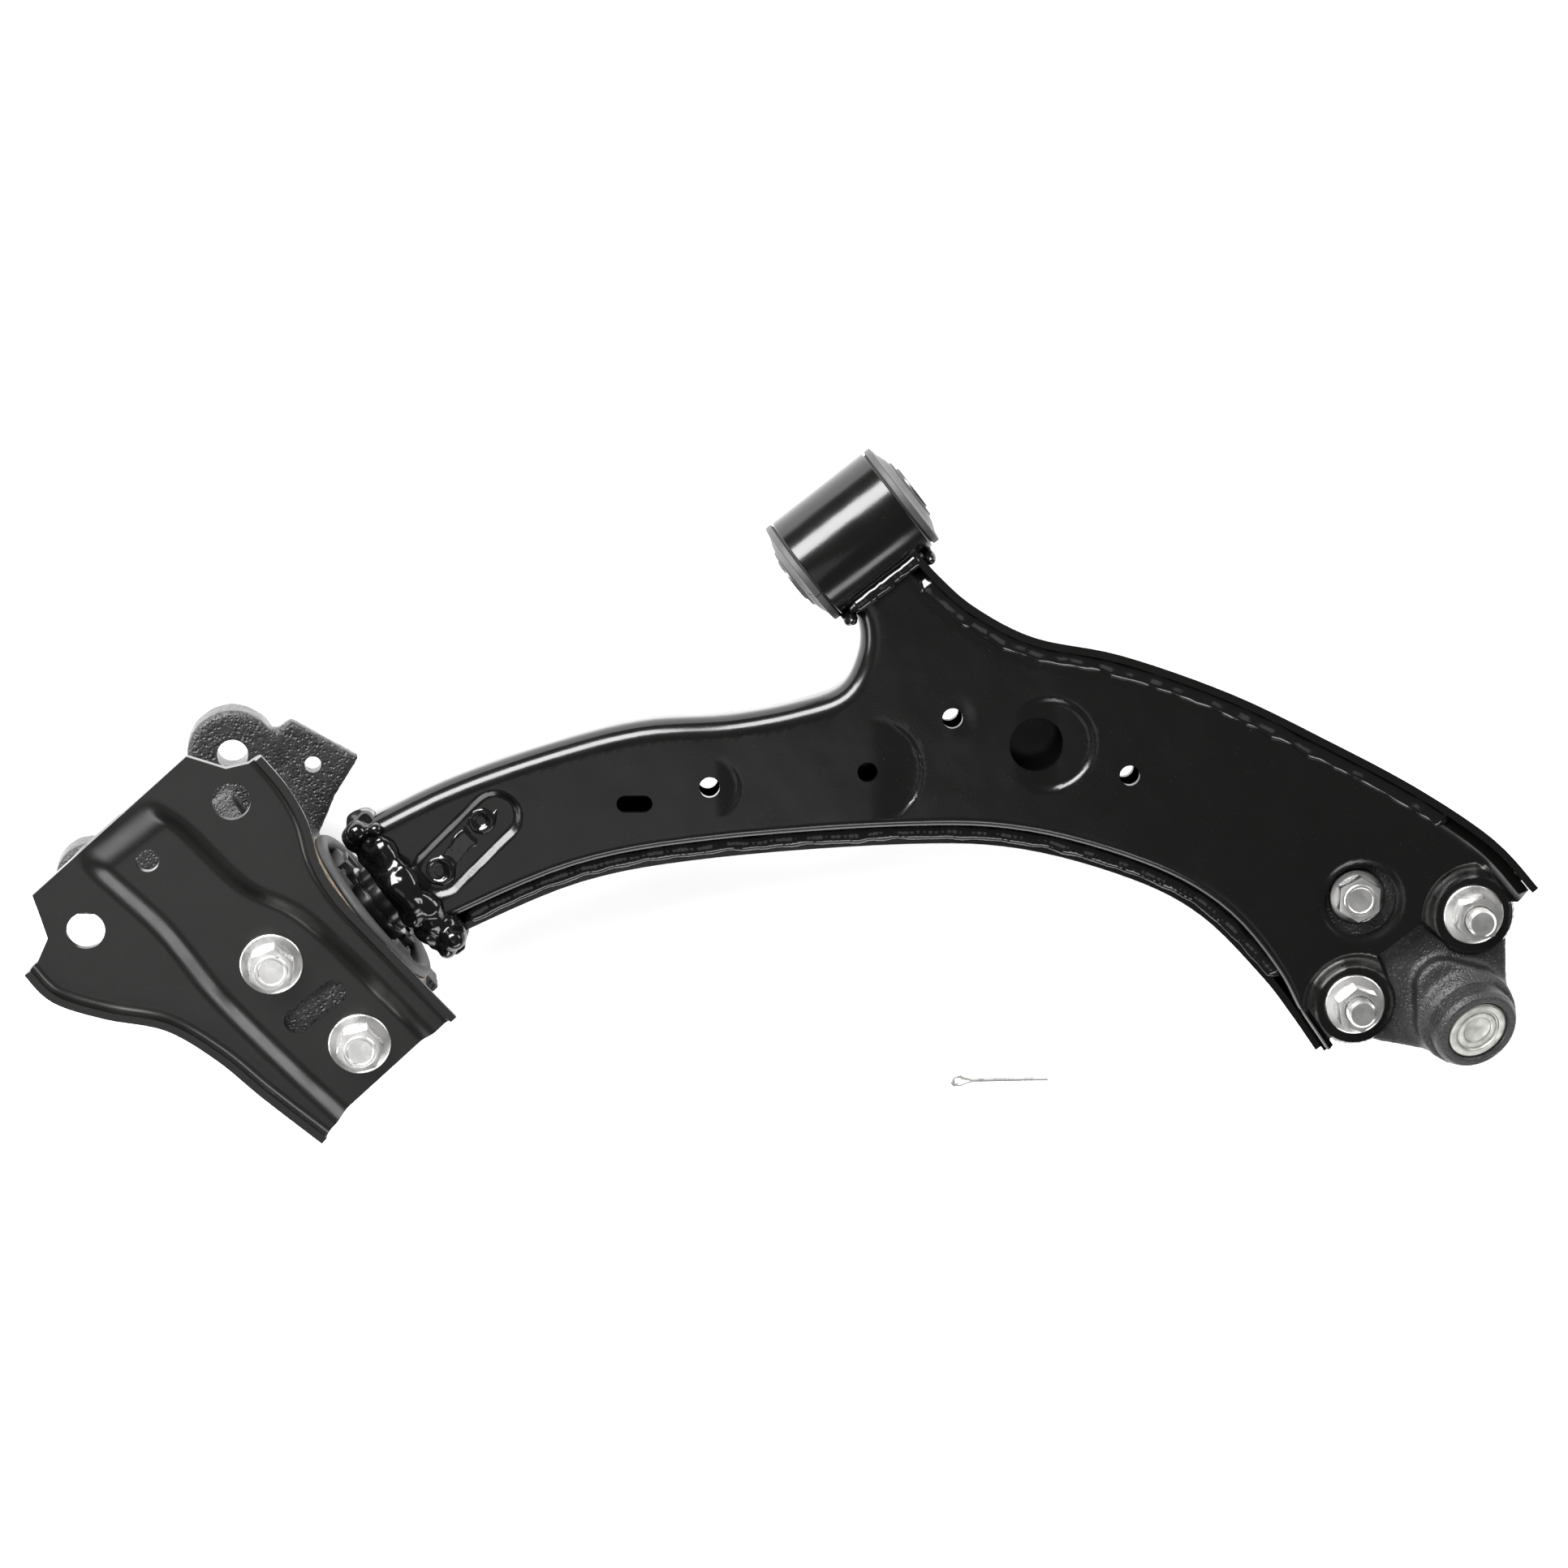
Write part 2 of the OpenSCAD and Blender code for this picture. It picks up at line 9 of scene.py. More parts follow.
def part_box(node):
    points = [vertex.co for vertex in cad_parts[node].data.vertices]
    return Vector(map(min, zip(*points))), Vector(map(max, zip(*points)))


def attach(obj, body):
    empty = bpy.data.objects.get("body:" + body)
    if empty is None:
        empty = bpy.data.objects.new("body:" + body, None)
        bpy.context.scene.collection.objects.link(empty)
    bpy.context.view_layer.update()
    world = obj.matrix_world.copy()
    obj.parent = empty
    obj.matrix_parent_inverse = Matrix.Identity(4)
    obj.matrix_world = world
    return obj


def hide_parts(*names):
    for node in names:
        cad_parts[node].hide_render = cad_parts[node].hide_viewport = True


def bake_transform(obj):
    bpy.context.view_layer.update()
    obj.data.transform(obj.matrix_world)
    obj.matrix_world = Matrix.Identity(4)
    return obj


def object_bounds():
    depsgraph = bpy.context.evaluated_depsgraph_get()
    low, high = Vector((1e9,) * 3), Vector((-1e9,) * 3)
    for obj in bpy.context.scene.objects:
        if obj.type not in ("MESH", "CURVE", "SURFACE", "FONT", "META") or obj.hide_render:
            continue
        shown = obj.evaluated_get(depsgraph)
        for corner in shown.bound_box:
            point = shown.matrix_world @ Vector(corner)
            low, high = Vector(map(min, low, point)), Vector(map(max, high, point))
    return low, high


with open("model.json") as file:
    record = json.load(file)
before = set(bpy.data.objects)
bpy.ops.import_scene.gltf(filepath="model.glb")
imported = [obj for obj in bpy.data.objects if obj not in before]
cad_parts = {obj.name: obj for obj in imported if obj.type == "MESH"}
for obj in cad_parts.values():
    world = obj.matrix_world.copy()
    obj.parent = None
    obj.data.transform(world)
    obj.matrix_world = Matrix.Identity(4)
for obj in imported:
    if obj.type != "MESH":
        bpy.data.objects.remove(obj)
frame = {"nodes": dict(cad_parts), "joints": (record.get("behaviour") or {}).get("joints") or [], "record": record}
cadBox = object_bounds()

# Sizes are in millimetres, and finishPiece turns them to metres.
joints = {joint["name"]: joint for joint in frame["joints"]}
mounts = {mount["name"]: mount for mount in frame["record"]["mounts"]}
rearMid = joints["arm_swing"]["pos_m"][0] * 1000          # middle of the rear bushing
ballAt = Vector(joints["stud_swing_x"]["pos_m"]) * 1000
jointAxis = Vector(joints["stud_spin"]["axis"])
plateNormal = Vector(mounts["plate_hole_front"]["axis"])
up = Vector((0, 0, 1))


def boxOf(node):
    low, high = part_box(node)
    return low * 1000, high * 1000


def turnTo(axis):
    return up.rotation_difference(Vector(axis)).to_matrix().to_4x4()


alongX = Matrix.Rotation(math.pi / 2, 4, "Y")
bracketPlace = turnTo(plateNormal)
jointPlace = Matrix.Translation(ballAt) @ turnTo(jointAxis)


class Wire:
    # one socket that values come from, so that shader maths reads as sums
    def __init__(self, paint, socket):
        self.paint = paint
        self.socket = socket

    def maths(self, operation, first, second):
        return self.paint.node("ShaderNodeMath", {"operation": operation}, {0: first, 1: second})

    def __add__(self, other):
        return self.maths("ADD", self, other)

    def __radd__(self, other):
        return self.maths("ADD", other, self)

    def __sub__(self, other):
        return self.maths("SUBTRACT", self, other)

    def __rsub__(self, other):
        return self.maths("SUBTRACT", other, self)

    def __mul__(self, other):
        return self.maths("MULTIPLY", self, other)

    def __rmul__(self, other):
        return self.maths("MULTIPLY", other, self)

    def __gt__(self, other):
        return self.maths("GREATER_THAN", self, other)

    def __lt__(self, other):
        return self.maths("LESS_THAN", self, other)


class Paint:
    # a material and the one method that adds its nodes
    def __init__(self, name):
        self.material = bpy.data.materials.new(name)
        self.material.use_nodes = True
        self.tree = self.material.node_tree
        self.surface = self.tree.nodes["Principled BSDF"]
        self.place = self.node("ShaderNodeTexCoord", output="Object")

    def node(self, kind, settings=None, inputs=None, output=0):
        made = self.tree.nodes.new(kind)
        for key, value in (settings or {}).items():
            if key == "stops":
                for element, (spot, tone) in zip(made.color_ramp.elements, value):
                    element.position = spot
                    element.color = (tone, tone, tone, 1)
            else:
                setattr(made, key, value)
        for key, value in (inputs or {}).items():
            self.feed(made.inputs[key], value)
        return Wire(self, made.outputs[output])

    def feed(self, socket, value):
        if isinstance(value, Wire):
            self.tree.links.new(value.socket, socket)
        else:
            socket.default_value = value

    def look(self, **values):
        for name, value in values.items():
            self.feed(self.surface.inputs[name.replace("_", " ")], value)

    def cloud(self, scale, detail=3.0, place=None):
        return self.node("ShaderNodeTexNoise", None,
                         {"Vector": place or self.place, "Scale": scale, "Detail": detail})

    def cells(self, scale, feature="F1"):
        return self.node("ShaderNodeTexVoronoi", {"feature": feature},
                         {"Vector": self.place, "Scale": scale})

    def step(self, value, low, high):
        return self.node("ShaderNodeValToRGB", {"stops": ((low, 0), (high, 1))}, {0: value})

    def mix(self, mask, first, second):
        return self.node("ShaderNodeMix", {"data_type": "RGBA"},
                         {0: mask, 6: (*first, 1), 7: (*second, 1)}, 2)

    def bump(self, height, depth, strength=1.0):
        self.look(Normal=self.node("ShaderNodeBump", None,
                                   {"Height": height, "Distance": depth, "Strength": strength}))


def blackCoat(name, look):
    paint = Paint(name)
    smear = paint.cloud(look["smear"], 6)
    dust = paint.step(paint.cloud(2600, 1), 0.74, 0.80) * paint.step(paint.cloud(110, 2), 0.45, 0.65)
    paint.look(Base_Color=paint.mix(dust, look["colour"], look["dust"]),
               Roughness=look["rough"] + look["spread"] * smear + 0.25 * dust)
    paint.surface.inputs["Specular IOR Level"].default_value = look["shine"]
    paint.bump(paint.cloud(look["peel"], 2) * look["peelHeight"] + paint.cloud(28, 2), look["depth"])
    return paint.material


def castSkin(name, look):
    paint = Paint(name)
    grain = paint.cloud(look["grain"], 4)
    pits = paint.step(paint.cells(look["grain"] * 0.45), 0.10, 0.45)
    shade = paint.step(paint.cloud(60, 4), 0.35, 0.7)
    paint.look(Base_Color=paint.mix(shade, look["colour"], look["light"]),
               Roughness=look["rough"] + 0.18 * grain, Metallic=look["metal"])
    paint.bump(grain * 0.7 + pits * 0.5, look["depth"])
    return paint.material


def platedSteel(name, look):
    paint = Paint(name)
    tarnish = paint.step(paint.cloud(look["patch"], 5), 0.35, 0.75)
    scratch = paint.cloud(700, 4, paint.node("ShaderNodeMapping", None,
                                             {"Vector": paint.place, "Scale": (1, 0.15, 1)}))
    paint.look(Base_Color=paint.mix(tarnish, look["colour"], look["dull"]), Metallic=1.0,
               Roughness=look["rough"] + 0.14 * tarnish + 0.08 * scratch)
    paint.bump(scratch + paint.cloud(1500, 2) * 0.6, look["depth"])
    return paint.material


def softRubber(name, look):
    paint = Paint(name)
    bloom = paint.step(paint.cloud(45, 5), 0.4, 0.8)
    paint.look(Base_Color=paint.mix(bloom, look["colour"], look["bloom"]),
               Roughness=look["rough"] + 0.15 * paint.cloud(200, 4))
    paint.bump(paint.cloud(900, 4), look["depth"])
    return paint.material


shellPaint = blackCoat("glossBlackCoat", {
    "colour": (0.0022, 0.0021, 0.002), "dust": (0.06, 0.055, 0.05), "smear": 60, "rough": 0.13,
                                          "spread": 0.12,
    "shine": 0.30, "peel": 900, "peelHeight": 0.03, "depth": 0.0005})
platePaint = blackCoat("satinBlackCoat", {
    "colour": (0.0034, 0.0032, 0.003), "dust": (0.07, 0.065, 0.06), "smear": 80, "rough": 0.24,
                                          "spread": 0.12,
    "shine": 0.40, "peel": 1100, "peelHeight": 0.03, "depth": 0.0004})
weldPaint = blackCoat("wetBlackWeld", {
    "colour": (0.002, 0.002, 0.002), "dust": (0.03, 0.03, 0.03), "smear": 120, "rough": 0.07,
                                       "spread": 0.12,
    "shine": 0.42, "peel": 420, "peelHeight": 0.10, "depth": 0.0005})
castPaint = castSkin("roughBlackCasting", {
    "colour": (0.003, 0.003, 0.003), "light": (0.008, 0.008, 0.008), "grain": 1300, "rough": 0.30,
                                           "metal": 0.0,
    "depth": 0.0006})
forgedPaint = castSkin("phosphatedForging", {
    "colour": (0.009, 0.009, 0.009), "light": (0.018, 0.017, 0.017), "grain": 1500, "rough": 0.34,
                                             "metal": 0.25,
    "depth": 0.0004})
zincPaint = platedSteel("brightZinc", {
    "colour": (0.74, 0.74, 0.73), "dull": (0.60, 0.59, 0.57), "patch": 160, "rough": 0.20,
                                       "depth": 0.000008})
capPaint = platedSteel("pressedCapSteel", {
    "colour": (0.34, 0.34, 0.32), "dull": (0.22, 0.22, 0.20), "patch": 220, "rough": 0.36,
                                           "depth": 0.00002})
sleevePaint = platedSteel("darkTurnedSteel", {
    "colour": (0.10, 0.10, 0.10), "dull": (0.05, 0.05, 0.05), "patch": 120, "rough": 0.34,
                                              "depth": 0.00002})
studPaint = platedSteel("groundSteel", {
    "colour": (0.48, 0.48, 0.49), "dull": (0.33, 0.33, 0.33), "patch": 140, "rough": 0.24,
                                        "depth": 0.00001})
tanPaint = platedSteel("tanSleeveSteel", {
    "colour": (0.20, 0.165, 0.12), "dull": (0.12, 0.10, 0.075), "patch": 300, "rough": 0.45,
                                          "depth": 0.0001})
rubberPaint = softRubber("bushRubber", {
    "colour": (0.018, 0.018, 0.018), "bloom": (0.034, 0.034, 0.033), "rough": 0.5, "depth": 0.0001})
bootPaint = softRubber("bootRubber", {
    "colour": (0.008, 0.008, 0.008), "bloom": (0.014, 0.014, 0.014), "rough": 0.5, "depth": 0.00008})
seatPaint = softRubber("acetalSeat", {
    "colour": (0.62, 0.60, 0.54), "bloom": (0.55, 0.53, 0.47), "rough": 0.4, "depth": 0.00005})
print("materials made")


def smoothStep(low, high, value):
    t = max(0.0, min(1.0, (value - low) / (high - low)))
    return t * t * (3 - 2 * t)


def curve(points, steps=6):
    # a smooth line through points, with steps pieces between each two
    points = [Vector(p) for p in points]
    made = []
    for i in range(len(points) - 1):
        a, b, c, d = points[max(0, i - 1)], points[i], points[i + 1], points[min(len(points) - 1,
                                                                                 i + 2)]
        for s in range(steps):
            t = s / steps
            made.append(0.5 * (2 * b + (c - a) * t + (2 * a - 5 * b + 4 * c - d) * t * t
                               + (3 * b - a - 3 * c + d) * t * t * t))
    return made + [points[-1]]


def moved(points, distance, shares=None):
    # the same line, moved to the right of its direction, at some points by only a share
    made = []
    for i, point in enumerate(points):
        along = points[min(len(points) - 1, i + 1)] - points[max(0, i - 1)]
        reachOut = distance * shares[i] if shares else distance
        made.append(point + reachOut * Vector((along[1], -along[0])).normalized())
    return made


def arc(centre, radius, first, last, steps=16):
    turns = [math.radians(first + (last - first) * i / steps) for i in range(steps + 1)]
    return [Vector(centre) + radius * Vector((math.cos(t), math.sin(t))) for t in turns]


def rounded(points, radius, steps=3):
    # a closed outline with its corners rounded by short curves
    made = []
    count = len(points)
    for i in range(count):
        before, corner, after = (Vector(points[(i + k) % count]) for k in (-1, 0, 1))
        if corner[0] < 0.01:
            made.append(corner)
            continue
        first = corner + (before - corner).normalized() * min(radius, (before - corner).length / 2.2)
        last = corner + (after - corner).normalized() * min(radius, (after - corner).length / 2.2)
        for s in range(steps + 1):
            t = s / steps
            made.append(first * (1 - t) ** 2 + corner * 2 * t * (1 - t) + last * t * t)
    return made


def merge(bm, part, place=Matrix()):
    # moves one bmesh into another
    bmesh.ops.transform(part, matrix=place, verts=part.verts)
    mesh = bpy.data.meshes.new("part")
    part.to_mesh(mesh)
    part.free()
    bm.from_mesh(mesh)
    bpy.data.meshes.remove(mesh)
    return bm


def lathe(profile, place=Matrix(), steps=96, soft=0.0, bm=None):
    # a closed profile of (radius, height), spun about its own axis
    part = bmesh.new()
    outline = rounded(profile, soft) if soft else [Vector(p) for p in profile]
    verts = [part.verts.new((max(p[0], 0), 0, p[1])) for p in outline]
    edges = [part.edges.new((verts[i - 1], verts[i])) for i in range(len(verts))
             if outline[i - 1][0] > 0.001 or outline[i][0] > 0.001]
    bmesh.ops.spin(part, geom=verts + edges, cent=(0, 0, 0), axis=(0, 0, 1), angle=2 * math.pi,
                   steps=steps, use_merge=True)
    bmesh.ops.remove_doubles(part, verts=part.verts, dist=0.001)
    bmesh.ops.recalc_face_normals(part, faces=part.faces)
    return merge(bm or bmesh.new(), part, place)


def prism(points, low, high, place=Matrix(), bm=None):
    part = bmesh.new()
    face = part.faces.new([part.verts.new((p[0], p[1], low)) for p in points])
    grown = bmesh.ops.extrude_face_region(part, geom=[face])["geom"]
    bmesh.ops.translate(part, vec=(0, 0, high - low),
                        verts=[v for v in grown if isinstance(v, bmesh.types.BMVert)])
    bmesh.ops.recalc_face_normals(part, faces=part.faces)
    return merge(bm or bmesh.new(), part, place)


def rod(at, diameter, low, high, place=Matrix(), bm=None, steps=64):
    part = bmesh.new()
    bmesh.ops.create_cone(part, cap_ends=True, segments=steps, radius1=diameter / 2,
                          radius2=diameter / 2,
                          depth=high - low)
    return merge(bm or bmesh.new(), part, place @ Matrix.Translation((at[0], at[1], (low + high) / 2)))


def solid(bm, name="part"):
    mesh = bpy.data.meshes.new(name)
    bm.to_mesh(mesh)
    bm.free()
    made = bpy.data.objects.new(name, mesh)
    bpy.context.scene.collection.objects.link(made)
    return made


def withModifier(piece, kind, **settings):
    # adds one modifier and applies it
    modifier = piece.modifiers.new(kind, kind)
    for key, value in settings.items():
        setattr(modifier, key, value)
    bpy.context.view_layer.update()
    mesh = bpy.data.meshes.new_from_object(piece.evaluated_get(bpy.context.evaluated_depsgraph_get()))
    piece.modifiers.clear()
    old = piece.data
    piece.data = mesh
    bpy.data.meshes.remove(old)
    return piece


def combined(piece, other, operation):
    withModifier(piece, "BOOLEAN", operation=operation, solver="MANIFOLD", object=other)
    bpy.data.objects.remove(other)
    return piece


def sweep(path, section, radiusAt=None, bm=None, sideways=up):
    # carries a closed section of (across, upward) points along a path of Vectors
    part = bmesh.new()
    ring, first = None, None
    for i, point in enumerate(path):
        along = (path[min(len(path) - 1, i + 1)] - path[max(0, i - 1)]).normalized()
        across = along.cross(sideways).normalized()
        lift = across.cross(along)
        scale = radiusAt(i / (len(path) - 1)) if radiusAt else 1
        places = [point + (across * u + lift * v) * scale for u, v in section]
        if ring is None:
            ring = [part.verts.new(p) for p in places]
            first = part.faces.new(ring)
            edges = list(first.edges)
        else:
            grown = bmesh.ops.extrude_edge_only(part, edges=edges)["geom"]
            fresh = {v for v in grown if isinstance(v, bmesh.types.BMVert)}
            ring = [next(e.other_vert(v) for e in v.link_edges if e.other_vert(v) in fresh) for v in ring]
            edges = [part.edges.get((ring[k - 1], ring[k])) for k in range(len(ring))]
            for vert, spot in zip(ring, places):
                vert.co = spot
    part.faces.new(ring)
    bmesh.ops.recalc_face_normals(part, faces=part.faces)
    return merge(bm or bmesh.new(), part)


def circle(radius, sides=12):
    return [(radius * math.cos(math.tau * i / sides), radius * math.sin(math.tau * i / sides))
            for i in range(sides)]


def roughen(piece, amount, size):
    # pushes the skin in and out by a soft noise
    for vert in piece.data.vertices:
        vert.co += vert.normal * amount * noise.noise(vert.co / size)
    return piece


def finishPiece(piece, name, paint, body, nodes=(), angle=32):
    mesh = piece.data
    mesh.transform(Matrix.Scale(0.001, 4))
    mesh.materials.clear()
    mesh.materials.append(paint)
    mesh.shade_smooth()
    mesh.set_sharp_from_angle(angle=math.radians(angle))
    piece.name = name
    mesh.name = name
    if body:
        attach(piece, body)
    if nodes:
        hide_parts(*nodes)
    return piece


def toBall(share, side):
    return (side + share * ballAt.x, share * ballAt.y)


def nearBall(x, y):
    return (ballAt.x + x, ballAt.y + y)


def between(shareX, shareY):
    return (shareX * rearMid, shareY * ballAt.y)


arm = {"sheet": 3.2, "top": 12.0, "ledge": 9.0, "bend": 8.0, "cell": 2.2, "rimFront": 15.0,
       "rimRear": 2.0,
       "floor": -11.2, "padTop": 5.2, "padRadius": 17.0, "end": rearMid - 45}
frontEdge = curve([(-17, 18), (-18, 34), (-22, 54), toBall(0.245, -14), toBall(0.333, -31),
                   toBall(0.46, -47), toBall(0.587, -57), toBall(0.714, -65), toBall(0.832, -68),
                   nearBall(-57, -26)])
rearEdge = curve([nearBall(60, -24), nearBall(59, -44), nearBall(59, -65), toBall(0.685, 38),
                  toBall(0.587, 44), between(0.09, 0.465), between(0.22, 0.367), between(0.46, 0.225),
                  between(0.64, 0.142), (arm["end"], 31)])
innerEdge = curve([(arm["end"], -32), (rearMid - 84, -24), (rearMid - 126, -10), between(0.42, 0.02),
                   between(0.31, 0.085), (62, 41), (43, 47), (28, 40), (20, 29), (20, 18)])
jointBolts = [nearBall(3 - 31.75, -31), nearBall(3 + 31.75, -31)]
shortBolt = nearBall(6, -68)
tip = (arc(jointBolts[0], arm["padRadius"], 165, 20) + [Vector(nearBall(-10, -44)),
                                                        Vector(nearBall(15, -44))]
       + arc(jointBolts[1], arm["padRadius"], 160, 15))
finFront = [Vector(nearBall(-53.5, -26)), Vector(nearBall(-50, -31))]
finRear = [Vector(nearBall(56, -28))]
toolHoles = [(112, 46), (14, 86), (-30, 152)]
blindHole, drainHole, slotAt = (56, 82), (-7, 117), (141, 32)
plugs = [(rearMid - 59, 4), (rearMid - 86, -2)]


def bentRings(inset, radius, wall, drop=1, steps=6):
    # insets and heights across a bend, from the flat face out to the wall's rim
    turns = [math.pi / 2 * i / steps for i in range(steps + 1)]
    rings = [(inset + radius * (1 - math.sin(t)), -drop * radius * (1 - math.cos(t))) for t in turns]
    levels = max(1, round((wall - radius) / 5))
    return rings + [(inset, -drop * (radius + (wall - radius) * (k + 1) / levels)) for k in range(levels)]


def stampedSheet(runs, top, cell, height, features=(), flip=False):
    # runs go round the outline: (points, rings, shares), where an open stretch has no rings
    bm = bmesh.new()
    chains = []
    for points, rings, shares in runs:
        line = moved(points, rings[0][0], shares) if rings else points
        chains.append([bm.verts.new((p[0], p[1], top)) for p in line])
    middle = bm.faces.new([v for chain in chains for v in chain])
    for (points, rings, shares), chain in zip(runs, chains):
        edges = [bm.edges.get(pair) for pair in zip(chain, chain[1:])]
        for inset, level in rings[1:]:
            grown = bmesh.ops.extrude_edge_only(bm, edges=edges)["geom"]
            fresh = {v for v in grown if isinstance(v, bmesh.types.BMVert)}
            chain = [next(e.other_vert(v) for e in v.link_edges if e.other_vert(v) in fresh) for v in chain]
            edges = [bm.edges.get(pair) for pair in zip(chain, chain[1:])]
            for vert, spot in zip(chain, moved(points, inset, shares)):
                vert.co = (spot[0], spot[1], top + level)
    geom = [middle, *middle.edges, *middle.verts]
    low = [min(v.co[k] for v in middle.verts) for k in (0, 1)]
    high = [max(v.co[k] for v in middle.verts) for k in (0, 1)]
    for axis in (0, 1):
        normal = Vector((1 - axis, axis, 0))
        for k in range(1, int((high[axis] - low[axis]) / cell) + 1):
            spot = normal * (low[axis] + k * cell)
            geom = bmesh.ops.bisect_plane(bm, geom=geom, dist=0.0005, plane_co=spot,
                                          plane_no=normal)["geom"]
    for centre, reachOut, fine in features:
        close = [f for f in geom if isinstance(f, bmesh.types.BMFace) and f.is_valid
                 and (f.calc_center_median().xy - Vector(centre)).length < reachOut]
        patch = list({e for f in close for e in f.edges} | {v for f in close for v in f.verts}) + close
        for axis in (0, 1):
            normal = Vector((1 - axis, axis, 0))
            for k in range(-int(reachOut / fine) - 1, int(reachOut / fine) + 2):
                spot = normal * (centre[axis] + k * fine + fine * 0.37)
                patch = bmesh.ops.bisect_plane(bm, geom=patch, dist=0.0005, plane_co=spot,
                                               plane_no=normal)["geom"]
        geom = list({g for g in geom + patch if g.is_valid})
    for vert in {g for g in geom if isinstance(g, bmesh.types.BMVert)}:
        vert.co.z += height(vert.co.x, vert.co.y)
    bmesh.ops.recalc_face_normals(bm, faces=bm.faces)
    bm.faces.ensure_lookup_table()
    flat = max(bm.faces, key=lambda f: abs(f.normal.z) * f.calc_area())
    if (flat.normal.z < 0) != flip:
        bmesh.ops.reverse_faces(bm, faces=bm.faces)
    return solid(bm)


def away(x, y, spot):
    return math.hypot(x - spot[0], y - spot[1])


def stretched(x, y, first, last):
    # distance from a straight line between two points
    a, b, p = Vector(first), Vector(last), Vector((x, y))
    t = max(0, min(1, (p - a).dot(b - a) / (b - a).length_squared))
    return (p - a - (b - a) * t).length


def armHoles(bm, low, high):
    for spot in toolHoles:
        rod(spot, 8.6, low, high, bm=bm)
    for spot in jointBolts:
        rod(spot, 12.4, low, high, bm=bm)
    rod((0, 0), 49, -60, 60, alongX, bm)
    return bm


def upperHeight(x, y):
    drop = 0.0
    for spot in jointBolts:
        drop = min(drop, (arm["padTop"] - arm["top"]) * (1 - smoothStep(15.5, 25, away(x, y, spot))))
    drop -= 1.3 * (1 - smoothStep(15, 19.5, away(x, y, shortBolt)))
    ring = (drainHole[0] - 4, drainHole[1] + 3)
    for spot, radius, ramp, rise, start in ((ring, 21, 4, 1.5, -0.7), (blindHole, 24, 2.4, 1.1, 0.0),
                                            (toolHoles[0], 14, 3, 0.9, 0.1),
                                            (toolHoles[1], 9, 3, 0.5, 0.0)):
        side = ((x - spot[0]) * -0.79 + (y - spot[1]) * 0.61) / radius
        drop -= rise * (1 - smoothStep(radius - ramp, radius, away(x, y, spot))) * smoothStep(start,
                                                                                              start + 0.9, side)
    drop -= 1.8 * (1 - smoothStep(7.5, 12,
                                  stretched(x, y, plugs[0], (plugs[1][0] - 6, plugs[1][1] + 2))))
    return drop


def makeUpperShell():
    ledge, sheet = arm["ledge"], arm["sheet"]
    rearRings = [(ledge + 4.5 * (1 - math.sin(t)), -4.5 * (1 - math.cos(t))) for t in
                 [math.pi / 2 * k / 6 for k in range(7)]] + [(ledge - 0.3, -10)]
    frontRings = [(sheet + 9, 0), (sheet + 7, -0.3), (sheet + 5, -1.0), (sheet + 3, -2.0),
                  (sheet + 0.2, -3.2)]
    narrow = [0.42 + 0.58 * smoothStep(5, 17, i) for i in range(len(rearEdge))]
    runs = [(frontEdge, frontRings, None), (tip, [], None), (rearEdge, rearRings, narrow),
            (innerEdge, bentRings(0, arm["bend"], 16), None)]
    spots = [(p, 27, 1.1) for p in jointBolts] + [(shortBolt, 21, 1.1), (drainHole, 27, 1.1),
                                                  (blindHole, 25, 1.1),
                                                  (toolHoles[0], 16, 1.1), (plugs[0], 24, 1.1),
                                                  (plugs[1], 24, 1.1)]
    shell = stampedSheet(runs, arm["top"], arm["cell"], upperHeight, spots)
    withModifier(shell, "SOLIDIFY", thickness=sheet, offset=-1, use_even_offset=True)
    cutters = armHoles(bmesh.new(), -40, 60)
    rod(shortBolt, 31, -40, 60, bm=cutters)
    rod(blindHole, 8.5, -40, 60, bm=cutters)
    rod(drainHole, 23, -40, 60, bm=cutters)
    turned = Matrix.Translation((*slotAt, 0)) @ Matrix.Rotation(math.radians(142), 4, "Z")
    prism(arc((3.9, 0), 3.65, -90, 90) + arc((-3.9, 0), 3.65, 90, 270), -40, 60, turned, cutters)
    combined(shell, solid(cutters), "DIFFERENCE")
    finishPiece(shell, "upperShell", shellPaint, "arm", ["upper_shell"])


def lowerHeight(x, y):
    return 1.5 * (1 - smoothStep(14, 19, away(x, y, shortBolt))) + 1.0 * (
        1 - smoothStep(20, 26, stretched(x, y, (60, 70), (-60, 170))))


def makeLowerShell():
    sheet, floor = arm["sheet"], arm["floor"]
    runs = [(frontEdge, bentRings(0, 5, arm["rimFront"] - floor, -1), None),
            (finFront + tip + finRear, [], None),
            (rearEdge, bentRings(0, 5, arm["rimRear"] - floor, -1), None),
            (innerEdge, bentRings(sheet, 5, arm["rimRear"] - floor, -1), None)]
    shell = stampedSheet(runs, floor, 5, lowerHeight, [(shortBolt, 20, 2)], flip=True)
    withModifier(shell, "SOLIDIFY", thickness=sheet, offset=-1, use_even_offset=True)
    cutters = armHoles(bmesh.new(), -60, 10)
    rod(shortBolt, 12.4, -60, 10, bm=cutters)
    combined(shell, solid(cutters), "DIFFERENCE")
    finishPiece(shell, "lowerShell", shellPaint, "arm", ["lower_shell"])


makeUpperShell()
makeLowerShell()
print("shells made")


bead = {"ripple": 2.6, "wobble": 0.24, "sides": 12}


